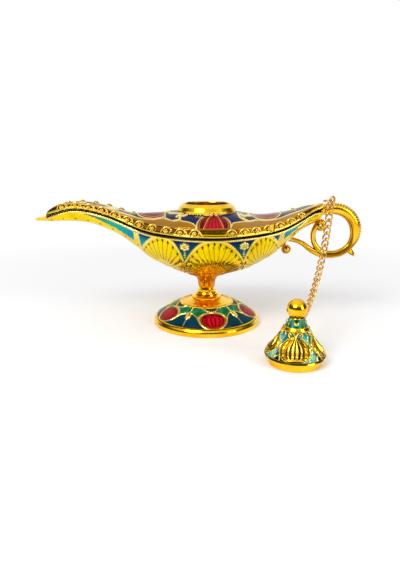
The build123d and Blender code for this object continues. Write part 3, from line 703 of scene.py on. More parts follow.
def setOnPoints(name, pattern, places, turns, grows, size=1.0):
    # one Geometry Nodes tree: the pattern on every point, turned and grown by the point's own values
    mesh = bpy.data.meshes.new(name)
    mesh.from_pydata([tuple(p) for p in places], [], [])
    for layerName, kind, field, values in (("turn", "FLOAT_VECTOR", "vector", turns),
                                           ("grow", "FLOAT", "value", grows)):
        layer = mesh.attributes.new(layerName, kind, "POINT")
        layer.data.foreach_set(field, np.ravel(values).astype(np.float32))
    piece = bpy.data.objects.new(name, mesh)
    bpy.context.scene.collection.objects.link(piece)
    tree = bpy.data.node_groups.new(name + "Tree", "GeometryNodeTree")
    face = tree.interface
    face.new_socket("Geometry", in_out="INPUT", socket_type="NodeSocketGeometry")
    values = {"Pattern": ("Object", pattern), "Size": ("Float", size),
              "Finish": ("Material", materials["ornamentGold"])}
    keys = {socket: face.new_socket(socket, in_out="INPUT", socket_type="NodeSocket" + kind).identifier
            for socket, (kind, value) in values.items()}
    face.new_socket("Geometry", in_out="OUTPUT", socket_type="NodeSocketGeometry")
    wire = Wire(tree)
    start = wire.make("NodeGroupInput")
    inputs = {socket.name: Wire(tree, socket) for socket in start.socket.node.outputs if socket.name}
    shape = wire.make("GeometryNodeObjectInfo", {}, {"Object": inputs["Pattern"]}, "Geometry")
    named = "GeometryNodeInputNamedAttribute"
    turn, grow = (wire.make(named, {"data_type": kind}, {"Name": layer}, "Attribute")
                  for layer, kind in (("turn", "FLOAT_VECTOR"), ("grow", "FLOAT")))
    placed = wire.make("GeometryNodeInstanceOnPoints", {}, {
        "Points": inputs["Geometry"], "Instance": shape, "Scale": grow * inputs["Size"],
        "Rotation": wire.make("FunctionNodeEulerToRotation", {}, {"Euler": turn})})
    real = wire.make("GeometryNodeRealizeInstances", {}, {"Geometry": placed})
    finished = wire.make("GeometryNodeSetMaterial", {}, {"Geometry": real, "Material": inputs["Finish"]})
    wire.make("NodeGroupOutput", {}, {"Geometry": finished})
    modifier = piece.modifiers.new("set", "NODES")
    modifier.node_group = tree
    for socket, (kind, value) in values.items():
        modifier[keys[socket]] = value
    bpy.context.view_layer.update()
    plain = bpy.data.meshes.new_from_object(piece.evaluated_get(bpy.context.evaluated_depsgraph_get()))
    piece.modifiers.remove(modifier)
    piece.data = plain
    for layerName in ("turn", "grow"):
        if layerName in plain.attributes:
            plain.attributes.remove(plain.attributes[layerName])
    plain.name = name
    plain.shade_smooth()
    bpy.data.objects.remove(pattern)
    return piece


# deck band: dark seam, plain gold roll, then a bronze ground under the rope of scrolls

enamelTree = surfaceTree("deck_enamel")
rimTree = surfaceTree("hull", "deck", "deck_enamel")

bandSizes = {
    "ends": (-111.0, 80.5), "columns": 440, "rows": 26, "rays": 40, "firstRay": 0.012, "lastRay": 1.06,
    "seamDrop": 0.05, "steadyReach": 4, "lift": 0.3, "seam": 3.3,
    "rollMiddle": 3.95, "rollHalf": 0.65, "rollHeight": 0.45, "ropeLow": 4.6,
    # a row of beads under the mouth
    "beadPitch": 1.3, "beadLine": 5.6, "beadRadius": 0.5, "beadsMiddle": 4.5, "beadsReach": 10.5}


def deckEdges(xs):
    return smoothed(np.array([edgeAt(enamelTree, x) for x in xs]), 2)


def bandGrid():
    sizes = bandSizes
    xs = columnsOf(sizes)
    sections = []
    for x, seam, (topY, topZ) in zip(xs, seamHeights(xs), deckEdges(xs)):
        last = -math.atan2(topZ - seam, topY) * sizes["lastRay"]
        angles = np.linspace(sizes["firstRay"], last, sizes["rays"])
        points = sideSection(rimTree, x, seam - sizes["seamDrop"] * mm, angles)
        sections.append(evenly(points, sizes["rows"]))
    grid, u, s, lengths = sectionGrid(xs, sections)
    reach = sizes["steadyReach"]
    wide = np.pad(grid, ((reach, reach), (0, 0), (0, 0)), mode="edge")
    steady = np.median([wide[k:k + len(grid)] for k in range(2 * reach + 1)], axis=0)
    grid[..., 1:] = steady[..., 1:]                           # single columns can catch the seam
    return grid, u, s, lengths


bandPoints, bandU, bandS, bandLength = bandGrid()


def dressBand():
    sizes = bandSizes
    for name, side, grid in bothSides(bandPoints):
        skin = Skin(grid, bandU, bandS, flip=-side)
        skin.stamp(bandS - sizes["seam"], colour="black", metal=0, level=-0.05, dark=1)
        roll = np.abs(bandS - sizes["rollMiddle"]) - sizes["rollHalf"]
        skin.gild(roll, sizes["rollHeight"], "wireGold", edge=sizes["rollHalf"], dark=0)
        skin.gild(sizes["ropeLow"] - bandS, 0.0, "bronze", level=-0.05, dark=0.1)
        off = (bandU / sizes["beadPitch"]) % 1 - 0.5
        beads = np.hypot(off, bandS - sizes["beadLine"]) - sizes["beadRadius"]
        under = np.abs(bandU - sizes["beadsMiddle"]) < sizes["beadsReach"]
        skin.gild(np.where(under, beads, nowhere), 0.4, "gold", edge=0.4)
        dress(skin.build("deck_band_" + name, sizes["lift"]), "reliefAndEnamel")


dressBand()

scrollSizes = {
    "pitchSpout": 9.3, "pitchStern": 8.2, "gapSpout": 12.5, "gapStern": 10.0, "width": 8.8, "tall": 5.4,
    "middle": 5.0, "height": 0.57, "stand": 0.9, "start": -106.0, "end": 70.5,
    # how far along and down the band a scroll's lie is read, and how much the lines are smoothed
    "span": 6, "rounds": 12, "roomRounds": 8,
    "wave": ((-4.2, -1.2, 0.1, 0.25), (-3.4, 0.6, 0.25, 0.36), (-2.2, 1.9, 0.35, 0.45),
             (-0.5, 2.5, 0.4, 0.55), (1.2, 2.0, 0.4, 0.62), (2.6, 0.7, 0.35, 0.6), (3.7, -0.9, 0.25, 0.5),
             (4.6, -2.0, 0.1, 0.3)),
    "curl": ((1.9, -1.9, 0.1, 0.25), (1.5, -1.0, 0.25, 0.35), (1.7, -0.1, 0.3, 0.36),
             (2.4, 0.3, 0.3, 0.25)),
    "pearls": ((-0.9, -0.1, 0.3, 0.62), (-3.0, -1.5, 0.05, 0.45), (0.6, -1.8, 0.05, 0.42))}


def scrollPattern(flip):
    # a wave of wire that breaks over a rosette of pearls
    sizes = scrollSizes
    rosette = [(-0.9 + 1.05 * math.cos(a), -0.1 + 1.0 * math.sin(a), 0.1, 0.56)
               for a in (math.pi / 3 * k for k in range(6))]
    return meshPiece("scroll", tubeMesh([sizes["wave"], sizes["curl"]]),
                     pearlMesh(rosette + list(sizes["pearls"])), flip=flip)


def layScrolls():
    # walks along the rope zone at an even pitch as seen from the side; scrolls lean to the lamp's middle
    sizes, span = scrollSizes, scrollSizes["span"]
    row = int(bandSizes["rows"] * sizes["height"])
    line = smoothed(bandPoints[:, row], sizes["rounds"])
    climb = smoothed(bandPoints[:, row + 1] - bandPoints[:, row - span], sizes["rounds"])
    outward = np.stack([np.zeros(len(climb)), -climb[:, 2], climb[:, 1]], axis=1)
    outward /= np.linalg.norm(outward, axis=1)[:, None]
    steps = np.r_[0, np.cumsum(np.linalg.norm(np.diff(line[:, ::2], axis=0), axis=1))] / mm
    room = smoothed(bandLength, sizes["roomRounds"])
    chosen = {1: [], -1: []}
    for way, end in ((1, "Stern"), (-1, "Spout")):
        pitch = sizes["pitch" + end]
        at = float(np.interp(sizes["middle"] + sizes["gap" + end] * way, line[:, 0] / mm, steps))
        while sizes["start"] < np.interp(at, steps, line[:, 0] / mm) < sizes["end"]:
            index = int(round(float(np.interp(at, steps, np.arange(len(steps))))))
            grow = min(pitch / sizes["width"], room[index] / sizes["tall"])
            ahead = line[min(index + span, len(line) - 1)] - line[max(index - span, 0)]
            for side in (-1, 1):
                mirror = np.array([1, -side, 1])
                place = (line[index] + outward[index] * sizes["stand"] * mm) * mirror
                turn = turnFor(ahead * mirror * -side, outward[index] * mirror)
                chosen[way * side].append((place, turn, grow))
            at += way * pitch
    for lean, name in ((1, "rope_scrolls_spout_side"), (-1, "rope_scrolls_stern_side")):
        piece = setOnPoints(name, scrollPattern(lean), *zip(*chosen[lean]))
        dress(piece, "ornamentGold")


layScrolls()
print("deck band and rope done")


# deck enamel: the pattern is laid out on the near side as the eye meets it, and mirrored to the far side

deckTree = surfaceTree("deck", "deck_enamel")

view = {"place": (-4.8 * mm, -350 * mm, 116.6 * mm), "pitch": 14.4, "lens": 31.26, "sensor": 36.0,
        "middle": (200, 285), "scale": 495}

deckSizes = {
    "ends": (-110.6, 80.0), "columns": 560, "rows": 149, "reach": 0.99, "mouth": 19.7, "lift": 0.12,
    "sink": 0.8, "usual": 0.08,                               # the height where a ray meets nothing
    "unit": 0.68,                                             # mm to one unit of the flat drawing
    # dark enamel over the crown of the deck, down to a wavy wire
    "crown": (
        (60, 190), (60, 204.6), (70, 204.4), (86, 204.8), (97, 206), (106, 208.6), (118, 212),
        (130, 215.4), (138.5, 218.2), (146, 219.4), (154, 219.8), (163, 218.2), (168.7, 220),
        (174.2, 221.2), (178.6, 220.6), (179.6, 218.6), (181.1, 221.1), (188.5, 222.2), (193, 224),
        (195.6, 226.4), (197.2, 229.4), (198.6, 232), (229, 232), (231.4, 226.2), (233.2, 223.2),
        (243.2, 221.6), (249, 221.8), (253.5, 221), (258.5, 220.2), (266, 220.8), (275, 219.8),
        (282, 217.6), (290, 214.4), (300, 211), (310, 207.4), (322, 203.2), (322, 190)),
    "lenses": (
        ("ruby", ((135.4, 206), (135.8, 211.8), (139, 215.6), (145, 217.9), (154, 218.8), (162, 217.5),
                  (166.4, 215), (168.9, 212.6), (169, 206))),
        ("ruby", ((248, 208), (248.6, 214.4), (253, 216.8), (258.4, 219.2), (266.3, 220), (274.6, 219),
                  (279.2, 215.4), (281, 212.6), (281, 206))),
        ("scarlet", ((77, 196), (78.6, 201.8), (81.5, 203.2), (85, 202.6), (86.5, 200), (86.5, 196))),
        ("forest", ((292, 200), (291, 209.4), (295, 210), (299, 207.6), (300, 200)))),
    "darkFields": (
        ((165, 212), (165.2, 218), (171.7, 220.7), (178.6, 219.6), (180, 214)),
        ((243.8, 216), (244.2, 219.6), (249, 220.9), (253.4, 220.2), (257.4, 218.8), (253, 216.2))),
    "bars": (((169.4, 213.4), (183.2, 213.4)), ((104, 207.4), (118, 209.8))),
    "leaves": (
        ((176.5, 216.8), (179.6, 214.8), (182.6, 216.2), (186.4, 214.6)), ((179.8, 218.4), (181, 214.6)),
        ((237.6, 213.2), (239.6, 217.2), (244, 219.4), (247.6, 221)),
        ((240.4, 214.6), (244.6, 216.6), (248.4, 215.2))),
    "lotus": {"centre": 213.8, "foot": 231.8, "top": 213.2, "cup": 17.2, "bulb": 11.4},
    "lotusTips": (((207.2, 214.6), (209.6, 213.2), (211.6, 215.4)),
                  ((216.2, 215.4), (218.2, 213.2), (220.6, 214.4)))}


def flatDrawing(points):
    # where near side points fall in the flat drawing, 400 by 570 units
    pitch = math.radians(view["pitch"])
    place = view["place"]
    x, y, z = points[..., 0] - place[0], -np.abs(points[..., 1]) - place[1], points[..., 2] - place[2]
    depth = y * math.cos(pitch) - z * math.sin(pitch)
    up = y * math.sin(pitch) + z * math.cos(pitch)
    return view["middle"][0] + view["scale"] * x / depth, view["middle"][1] - view["scale"] * up / depth


def deckGrid():
    sizes = deckSizes
    xs = columnsOf(sizes)
    shares = np.linspace(-sizes["reach"], sizes["reach"], sizes["rows"])
    grid = np.zeros((len(xs), len(shares), 3))
    for i, (x, edge) in enumerate(zip(xs, deckEdges(xs)[:, 0])):
        for j, share in enumerate(shares):
            found = hit(deckTree, (x, share * edge, aloft), (0, 0, -1))
            grid[i, j] = found if found else (x, share * edge, sizes["usual"])
    return grid, shares


def drawLotus(skin, u, v):
    # rise is 0 at the foot of the flower and 1 at its tip
    unit, lotus = deckSizes["unit"], deckSizes["lotus"]
    across = u - lotus["centre"]
    rise = (lotus["foot"] - v) / (lotus["foot"] - lotus["top"])
    cup = lotus["cup"] * np.sqrt(held(1 - ((rise - 0.3) / 0.62) ** 2))
    d = np.where((rise > -0.04) & (rise < 0.8), (np.abs(across) - cup) * unit, nowhere)
    skin.enamel(d, blend("wine", "ruby", 0.3 + 0.3 * np.sin(u * 0.8)), 0.42)
    ring = np.abs(np.abs(across) - cup * 0.86) * unit - 0.3
    dots = np.abs(((v * 0.9) % 1) - 0.5) - 0.28
    skin.gild(np.where(d < -0.5, np.maximum(ring, dots), nowhere), 0.15, "copper", edge=0.2)
    bulb = lotus["bulb"] * held(1 - rise) ** 0.62 * held(rise * 9 + 0.35) ** 0.5
    d = np.where((rise > 0) & (rise < 1), (np.abs(across) - bulb) * unit, nowhere)
    skin.enamel(d, blend("ruby", "scarlet", 1.1 - 1.2 * rise), 0.3, "copper")
    for seam in (-0.62, -0.22, 0.22, 0.62):
        line = np.abs(across / np.maximum(bulb, 0.5) - seam) * np.maximum(bulb, 1.0) * unit - 0.3
        skin.stamp(np.where(d < 0, line, nowhere), 0.22, "wine", 0.2, edge=0.3)
    for points in deckSizes["lotusTips"]:
        skin.gild(stroke(u, v, arcPoints(points), 0.9) * unit, 0.5, edge=0.6, level=0.0)


def drawDeck(skin):
    sizes, unit = deckSizes, deckSizes["unit"]
    u, v = flatDrawing(skin.grid)
    skin.paint[:] = palette["bronze"]
    skin.metal[:] = 0.6
    skin.dark[:] = 0.05
    glow = held(1 - np.abs(u - 213) / 34) * held((v - 206) / 8)
    night = blend("ink", "navy", 0.45 + 0.5 * np.sin(u * 0.31) * np.cos(v * 0.7))
    skin.enamel(area(u, v, sizes["crown"]) * unit, blend(night, "royal", glow * 0.75), 0.42)
    for tone, corners in sizes["lenses"]:
        d = area(u, v, corners) * unit
        skin.enamel(d, blend("wine", tone, 0.5 + 0.4 * np.sin(v * 1.4)), 0.36)
        dots = np.abs(((u * 0.62) % 1) - 0.5) - 0.3
        skin.gild(np.maximum(np.abs(d + 1.5) - 0.2, dots), 0.12, "copper", edge=0.2)
    for corners in sizes["darkFields"]:
        skin.enamel(area(u, v, corners) * unit, blend("ink", "navy", (v - 212) / 8), 0.3)
    for points in sizes["bars"]:
        skin.gild(stroke(u, v, points, 0.75) * unit, 0.35, edge=0.4, level=0.0, dark=0)
    for points in sizes["leaves"]:
        skin.gild(stroke(u, v, arcPoints(points), 1.0) * unit, 0.5, edge=0.6, level=0.0, dark=0)
    drawLotus(skin, u, v)
    edge = np.minimum(np.abs(skin.v - 1), np.abs(skin.v + 1)) * skin.u
    skin.gild(edge - 0.5, 0.15, "deepGold", level=0.0, edge=0.5)
    skin.hollows(1.6, 4)


def dressDeck():
    sizes = deckSizes
    grid, shares = deckGrid()
    halfWidths = np.abs(grid[:, -1, 1:2]) / mm
    skin = Skin(grid, np.repeat(halfWidths, sizes["rows"], axis=1),
                np.repeat(shares[None, :], sizes["columns"], axis=0))
    drawDeck(skin)
    keep = np.hypot(grid[..., 0], grid[..., 1]) > sizes["mouth"] * mm
    piece = skin.build("deck_enamel_cells", sizes["lift"], keep=keep, sink=sizes["sink"])
    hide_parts("deck_enamel")
    dress(piece, "reliefAndEnamel")


dressDeck()
print("deck enamelled")


# foot enamel: five pomegranates, buds between them, beads round the cove

footTree = surfaceTree("foot_enamel", "foot_dish")

footSizes = {
    "inner": 18.75, "outer": 36.65, "around": 840, "rows": 62, "lift": 0.3, "climb": 20.9, "first": -82.0,
    "glassLow": 0.7, "glassTop": 20.4, "count": 5, "fruitWide": 9.6, "fruitTall": 7.7, "fruitAt": 7.9,
    "arc": ((9.6, 7.2), (11.0, 11.5), (13.2, 13.6), (15.4, 13.8), (18.5, 12.6)),
    "sprig": ((1.7, 15.6), (6.0, 19.8)), "fruitSpikes": (-1.7, 0.0, 1.7),
    "budPearls": ((15.2, 0.75), (16.8, 0.62), (18.2, 0.55), (19.4, 0.45), (6.9, 0.4), (5.7, 0.32),
                  (4.6, 0.28), (3.6, 0.26), (2.7, 0.24), (1.9, 0.22)),
    "beads": 108, "beadLine": 20.75, "beadRing": 19.2, "beadRadius": 0.48}


def drawPomegranate(skin, a, s):
    # a is mm round from the fruit's middle, s is mm up from the rim of the enamel
    wide, tall = footSizes["fruitWide"], footSizes["fruitTall"]
    rise = (s - footSizes["fruitAt"]) / tall
    rho, turn = np.hypot(a / wide, rise), np.arctan2(rise, a / wide)
    d = (rho - 1) * tall
    skin.enamel(d, "wine", 0.45)
    dots = np.hypot((rho - 0.86) * tall, ((turn / math.pi * 25) % 1 - 0.5) * 1.1) - 0.3
    skin.gild(np.where(d < 0, dots, nowhere), 0.25, "copper", edge=0.3)
    bulb = 0.74 * wide * np.sqrt(held(1 - (rise / 0.8) ** 2))
    bulb = np.where(rise > 0.35, np.minimum(bulb, (0.95 - rise) * 0.9 * wide), bulb)
    d = np.abs(a) - bulb
    share = a / np.maximum(bulb, 0.4)
    glow = held(1 - np.abs(np.abs(share) - 0.42) * 3.2) + held(1 - np.abs(share) * 5)
    skin.enamel(np.where(np.abs(rise) < 0.85, d, nowhere),
                blend("ruby", "scarlet", 0.3 + 0.7 * glow + 0.3 * rise))
    for seam, half in ((-0.62, 0.3), (-0.2, 0.42), (0.2, 0.42), (0.62, 0.3)):
        line = np.abs(share - seam) * np.maximum(bulb, 0.8) - half
        skin.stamp(np.where((d < 0) & (rise > -0.72), line, nowhere), 0.12, "wine", 0, edge=0.3)


def drawFoot(skin):
    sizes, s = footSizes, skin.v
    angle = np.arctan2(skin.grid[..., 1], skin.grid[..., 0])
    radius = np.hypot(skin.grid[..., 0], skin.grid[..., 1]) / mm
    a = radius * np.sin(turnsFrom(angle, sizes["first"], sizes["count"]))
    bud = radius * np.sin(turnsFrom(angle, sizes["first"] + 180 / sizes["count"], sizes["count"]))
    aside = np.abs(a)
    cloud = 0.5 + 0.5 * np.sin(angle * 7 + s * 0.35) * np.cos(angle * 16 - s * 0.6)
    lower = blend("deepBlue", "slate", cloud) * (0.55 + 0.45 * held((s - 0.4) / 4))[..., None]
    skin.enamel(strip(s, sizes["glassLow"], sizes["glassTop"]), lower)
    arc = arcPoints(sizes["arc"], 2)
    path = np.interp(aside, [p[0] for p in arc], [p[1] for p in arc])
    skin.enamel(strip(s, path, sizes["glassTop"]), blend("green", "leafGreen", cloud * 1.4 - 0.3))
    skin.gild(np.where(aside > 9.2, stroke(aside, s, arc, 0.42), nowhere), 0.4, edge=0.4, level=0.0)
    inner = np.where(aside < 6.6, aside - (s - 14.6) * 1.2, nowhere)
    skin.enamel(np.maximum(inner, 15.0 - s), "forest")
    skin.gild(stroke(aside, s, sizes["sprig"], 0.6), 0.45, edge=0.5, level=0.0)
    drawPomegranate(skin, a, s)
    for place in sizes["fruitSpikes"]:
        skin.gild(stroke(a, s, ((place * 0.5, 15.2), (place, 17.0)), 0.38), 0.4, edge=0.35, level=0.0)
    # the bud: a leaf body, then pearls above it and towards the rim
    skin.gild((np.hypot(bud / 1.9, (s - 11.2) / 3.5) - 1) * 1.9, 0.7, edge=1.2, level=0.0)
    skin.gild(np.hypot(np.abs(bud) - 1.7, s - 13.6) - 0.7, 0.5, edge=0.6)
    for rise, r in sizes["budPearls"]:
        skin.gild(np.hypot(bud, s - rise) - r, 0.45, edge=r, level=0.0)
    skin.gild(s - 0.62, 0.1, "gold", level=0.1, edge=0.5)
    skin.gild(20.2 - s, 0.0, "gold", level=0.0, dark=0)
    count = sizes["beads"]
    off = ((angle / (2 * math.pi) * count) % 1 - 0.5) * 2 * math.pi * sizes["beadRing"] / count
    skin.gild(np.hypot(off, s - sizes["beadLine"]) - sizes["beadRadius"], 0.45, "gold", edge=0.45)


def dressFoot():
    sizes = footSizes
    levels = np.linspace(sizes["outer"], sizes["inner"], sizes["rows"]) * mm
    grid = ringGrid(footTree, (0, 0), sizes["around"], levels, False)
    steps = np.linalg.norm(np.diff(grid, axis=1), axis=2)
    s = np.concatenate([np.zeros((len(grid), 1)), np.cumsum(steps, axis=1)], axis=1) / mm
    s *= sizes["climb"] / s[:, -1:]
    skin = Skin(grid, s * 0, s, ring=True)
    drawFoot(skin)
    piece = skin.build("foot_enamel_cells", sizes["lift"])
    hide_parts("foot_enamel")
    dress(piece, "reliefAndEnamel")


dressFoot()

pearlSizes = {"radius": 19.1, "height": 14.75, "count": 92, "pearl": 0.62, "lean": 0.7}


def layPearls():
    # a ring of pearls where the cove meets the enamel
    sizes = pearlSizes
    ways = [Vector((math.cos(angle), math.sin(angle), 0))
            for angle in (2 * math.pi * k / sizes["count"] for k in range(sizes["count"]))]
    places = [(way * sizes["radius"] + Vector((0, 0, sizes["height"]))) * mm for way in ways]
    turns = [turnFor((-way.y, way.x, 0), way + Vector((0, 0, sizes["lean"]))) for way in ways]
    pattern = meshPiece("pearl", pearlMesh([(0, 0, 0, sizes["pearl"])], 8, 4))
    piece = setOnPoints("cove_pearls", pattern, places, turns, np.ones(sizes["count"]))
    dress(piece, "ornamentGold")


layPearls()
print("foot enamelled")


# lid enamel: four gold pomegranates on cyan glass, a green neck with drops

lidTree = surfaceTree("lid_shell", "lid_enamel", "lid_neck_enamel")

lidSizes = {
    "centre": (51.0, -78.0), "facing": -101.6, "count": 4, "around": 560, "lift": 0.28,
    "flare": (5.7, 21.6), "flareRows": 96, "glass": (6.2, 20.4),
    "neck": (21.6, 27.5), "neckRows": 40, "neckGlass": (22.7, 27.4),
    # half widths of the fruit's frame and of its bulb at some heights
    "frame": ([6.2, 6.8, 8, 10, 12, 14, 16, 17.3, 18.4], [4.2, 6.4, 8.3, 9.2, 8.9, 7.5, 5.3, 3.8, 1.4]),
    "bulb": ([7.2, 8, 9, 11, 13, 15, 17, 19], [3.4, 4.4, 4.9, 5.1, 4.4, 2.8, 1.2, 0.8]), "bulbHalf": 5.0,
    "ridges": ((1.25, 0.85), (3.8, 0.62)), "fork": ((0.1, 16.4), (0.15, 18.6), (1.5, 20.4)),
    "scroll": ((3.0, 17.6), (4.1, 19.0), (3.2, 20.3), (2.4, 19.2)),
    "crest": ((0.8, 6.4), (1.6, 8.3), (3.4, 8.5), (4.6, 6.4))}


def lidPlaces(skin):
    # mm round the lid from the nearest fruit, and from the nearest gap between two
    (centreX, centreY), facing, count = (lidSizes[name] for name in ("centre", "facing", "count"))
    x, y = skin.grid[..., 0] / mm - centreX, skin.grid[..., 1] / mm - centreY
    angle, radius = np.arctan2(y, x), np.hypot(x, y)
    return [radius * turnsFrom(angle, first, count) for first in (facing, facing + 180 / count)]


def drawLid(skin):
    sizes, z = lidSizes, skin.v
    a, between = lidPlaces(skin)
    aside = np.abs(a)
    bright = blend("cyan", "iceBlue", held((0.6 - between) / 2) * held((19 - z) / 4))
    deep = blend("navy", "teal", held((z - 9) / 8))
    glass = blend(bright, deep, (between - 0.2) / 1.6)
    # painted shade: the glass darkens towards its top and bottom edges
    glass = glass * (0.35 + 0.65 * held((20.8 - z) / 3.5) * held((z - 6) / 2))[..., None]
    skin.enamel(strip(z, *sizes["glass"]), glass)
    half, inner = (np.interp(z, *sizes[name]) for name in ("frame", "bulb"))
    d = np.where((z > 6.3) & (z < 18.3), aside - half, nowhere)
    skin.gild(d, 0.0, "bronze", level=0.1, dark=0.25)
    skin.gild(np.abs(np.where(z < 17.4, d, nowhere)) - 0.42, 0.5, "wireGold", edge=0.42, level=0.1, dark=0)
    rope = np.where((z > 6.8) & (z < 16.6), np.abs(aside - (half + inner) / 2) - 1.15, nowhere)
    twist = ((z * 0.62 + aside * 0.3) % 1) - 0.5
    skin.gild(rope, 0.45, "richGold", edge=1.0, level=0.1, dark=0)
    # painted shade: dark stripes between the turns of the rope, whose shape is smooth
    skin.dark = np.where((rope < 0) & (np.abs(twist) > 0.3), 0.7, skin.dark)
    bowl = np.where((z < 8.4) & (z > 6.6), aside - 4.2, nowhere)
    skin.gild(bowl, 0.2, "richGold", edge=0.6, level=0.15, dark=0)
    bulb = np.where((z > 7.6) & (z < 17.2), aside - inner, nowhere)
    skin.gild(bulb, 0.0, "umber", level=0.05, dark=0.55)
    slim = inner / sizes["bulbHalf"]
    for place, width in sizes["ridges"]:
        ridge = np.abs(aside - place * slim) - width * np.clip(slim, 0.25, 1)
        skin.gild(np.where(bulb < 0.3, ridge, nowhere), 0.6, "wireGold", edge=0.55, level=0.1, dark=0)
    # the fleur above it, with a scroll each side, and waves between the pomegranates
    fork = np.minimum(stroke(aside, z, sizes["fork"], 0.42),
                      stroke(aside, z, arcPoints(sizes["scroll"]), 0.4))
    skin.gild(fork, 0.55, "wireGold", edge=0.45, level=0.1, dark=0)
    wave = np.abs(between - 0.55 * np.sin(z * 1.1)) - 0.36
    skin.gild(np.where(z > 7.4, wave, nowhere), 0.4, "richGold", edge=0.36, level=0.05)
    crest = stroke(np.abs(between), z, arcPoints(sizes["crest"]), 0.36)
    skin.gild(crest, 0.4, "wireGold", edge=0.36, level=0.05, dark=0)
    skin.stamp(z - 6.15, 0.0, "ink", 0.2, level=0.0)
    skin.gild(20.5 - z, 0.3, "richGold", edge=0.6, level=0.0, dark=0)
    skin.hollows(1.4, 4)


def drawNeck(skin):
    z = skin.v
    near, between = lidPlaces(skin)
    skin.enamel(strip(z, *lidSizes["neckGlass"]), blend(
        "forest", "aqua", held(1 - np.abs(np.abs(near) - 2.2) / 1.6) * 0.8))
    drop = np.hypot(near / 1.5, (z - 25.2) / 1.25) - 1
    bite = np.hypot(near / 1.0, (z - 26.3) / 0.9) - 1
    skin.gild(np.maximum(drop, -bite), 0.5, "wireGold", edge=0.6, level=0.05)
    skin.gild(np.abs(between) - 0.35, 0.3, "richGold", edge=0.3, level=0.0)
    skin.gild(z - 22.5, 0.0, "richGold", level=0.0, dark=0)


def dressLid():
    sizes = lidSizes
    centre = tuple(c * mm for c in sizes["centre"])
    for name, node, slot, part, draw in (
            ("lid_enamel_cells", "lid_enamel", "lid_enamel", "flare", drawLid),
            ("lid_neck_cells", "lid_neck_enamel", "lid_green", "neck", drawNeck)):
        levels = np.linspace(*sizes[part], sizes[part + "Rows"])
        grid = ringGrid(lidTree, centre, sizes["around"], levels * mm, True)
        skin = Skin(grid, grid[..., 0] * 0, np.repeat(levels[None, :], len(grid), axis=0), ring=True)
        draw(skin)
        piece = skin.build(name, sizes["lift"])
        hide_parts(node)
        dress(piece, "reliefAndEnamel", body="lid")


dressLid()
print("lid enamelled")


# handle: grooves along the rod, rows of scales on its back, dark eyes in the volutes, a thorn

handleTree = surfaceTree("handle")

handleSizes = {
    "loop": (91.1, 63.5), "from": 112.0, "to": -17.0, "pitch": 2.1, "grooves": (1.15, 2.55),
    "grooveHalf": 0.27, "volutes": ((78.2, 71.2), (56.4, 55.1)), "eye": 0.95,
    # the rod's half width is probed this deep; a scale is drawn for 3.6 mm and grown between the limits
    "rays": 240, "depth": 3.4, "scaleHalf": 3.6, "halfWidths": (1.8, 3.9), "usual": 0.8,
    "arm": ((-1.9, 3.35, -2.5, 0.2), (-1.0, 2.7, -1.35, 0.42), (0.1, 1.5, -0.3, 0.5),
            (1.1, 0.0, 0.05, 0.4)),
    "armPearls": ((-0.9, 0, -0.15, 0.75), (-1.4, 1.6, -0.75, 0.5), (-1.4, -1.6, -0.75, 0.5)),
    "thorn": ((100.9, 0, 53.6, 1.7), (102.5, 0, 52.0, 2.0), (104.0, 0, 50.5, 1.6), (105.2, 0, 49.2, 0.95),
              (106.2, 0, 47.9, 0.2))}


def makeHandleGold(name, look):
    # the grooves are lines at a set distance from the middle plane, so they follow the rod
    material, wire, place = startMaterial(name)
    across = wire.maths("ABSOLUTE", wire.make("ShaderNodeSeparateXYZ", {}, {0: place}, "Y"))
    half = look["grooveHalf"] * mm
    bands = [wire.smoothStep(wire.maths("ABSOLUTE", across - line * mm), half * 2, half * 0.4)
             for line in look["grooves"]]
    groove = bands[0] + bands[1]
    grain = wire.noise(place, 420.0, 4.0)
    body = wire.ramp(wire.noise(place, 60.0, 2.0), (0.3, seen(244, 172, 22)), (0.6, seen(255, 205, 44)))
    # painted shade: the grooves are darkened to brown as well as sunk by the bump
    endMaterial(wire, {
        "Base Color": wire.mixed(groove * 0.8, body, (*seen(112, 56, 8), 1)), "Metallic": 1.0,
        "Roughness": 0.1 + grain * 0.1 + groove * 0.2,
        "Normal": wire.bump(grain * 0.15 - groove, 0.6, 0.0003)})
    return material


def layScales():
    # chevrons along the back of the loop, grown to the rod's width
    sizes = handleSizes
    middle = Vector((sizes["loop"][0], 0, sizes["loop"][1])) * mm
    line = []
    for angle in np.radians(np.linspace(sizes["from"], sizes["to"], sizes["rays"])):
        way = Vector((math.cos(angle), 0, math.sin(angle)))
        found = hit(handleTree, middle + way * 0.05, -way)
        if found:
            line.append(found)
    length = np.linalg.norm(np.diff(np.array(line), axis=0), axis=1).sum() / mm
    points, _ = evenly(line, int(round(length / sizes["pitch"])))
    turns, grows = [], []
    for i, point in enumerate(points):
        ahead = points[min(i + 1, len(points) - 1)] - points[max(i - 1, 0)]
        out = (Vector(point) - middle).normalized()
        inside = Vector(point) - out * sizes["depth"] * mm
        found = hit(handleTree, (inside.x, -0.03, inside.z), (0, 1, 0))
        turns.append(turnFor(ahead, out))
        half = float(np.clip(-found.y / mm, *sizes["halfWidths"])) if found else None
        grows.append(half / sizes["scaleHalf"] if found else sizes["usual"])
    arms = [sizes["arm"], [(x, -y, z, r) for x, y, z, r in sizes["arm"]]]
    pattern = meshPiece("chevron", tubeMesh(arms), pearlMesh(sizes["armPearls"]))
    dress(setOnPoints("handle_scales", pattern, points, turns, grows), "ornamentGold")


def layEyes():
    places, turns = [], []
    for x, z in handleSizes["volutes"]:
        for side in (-1, 1):
            found = hit(handleTree, (x * mm, side * 0.03, z * mm), (0, -side, 0))
            if found:
                places.append(found)
                turns.append(turnFor((1, 0, 0), (0, side, 0)))
    pattern = meshPiece("eye", pearlMesh([(0, 0, 0, handleSizes["eye"])], 12, 5))
    piece = setOnPoints("volute_eyes", pattern, places, turns, np.ones(len(places)))
    dress(piece, "darkGold")


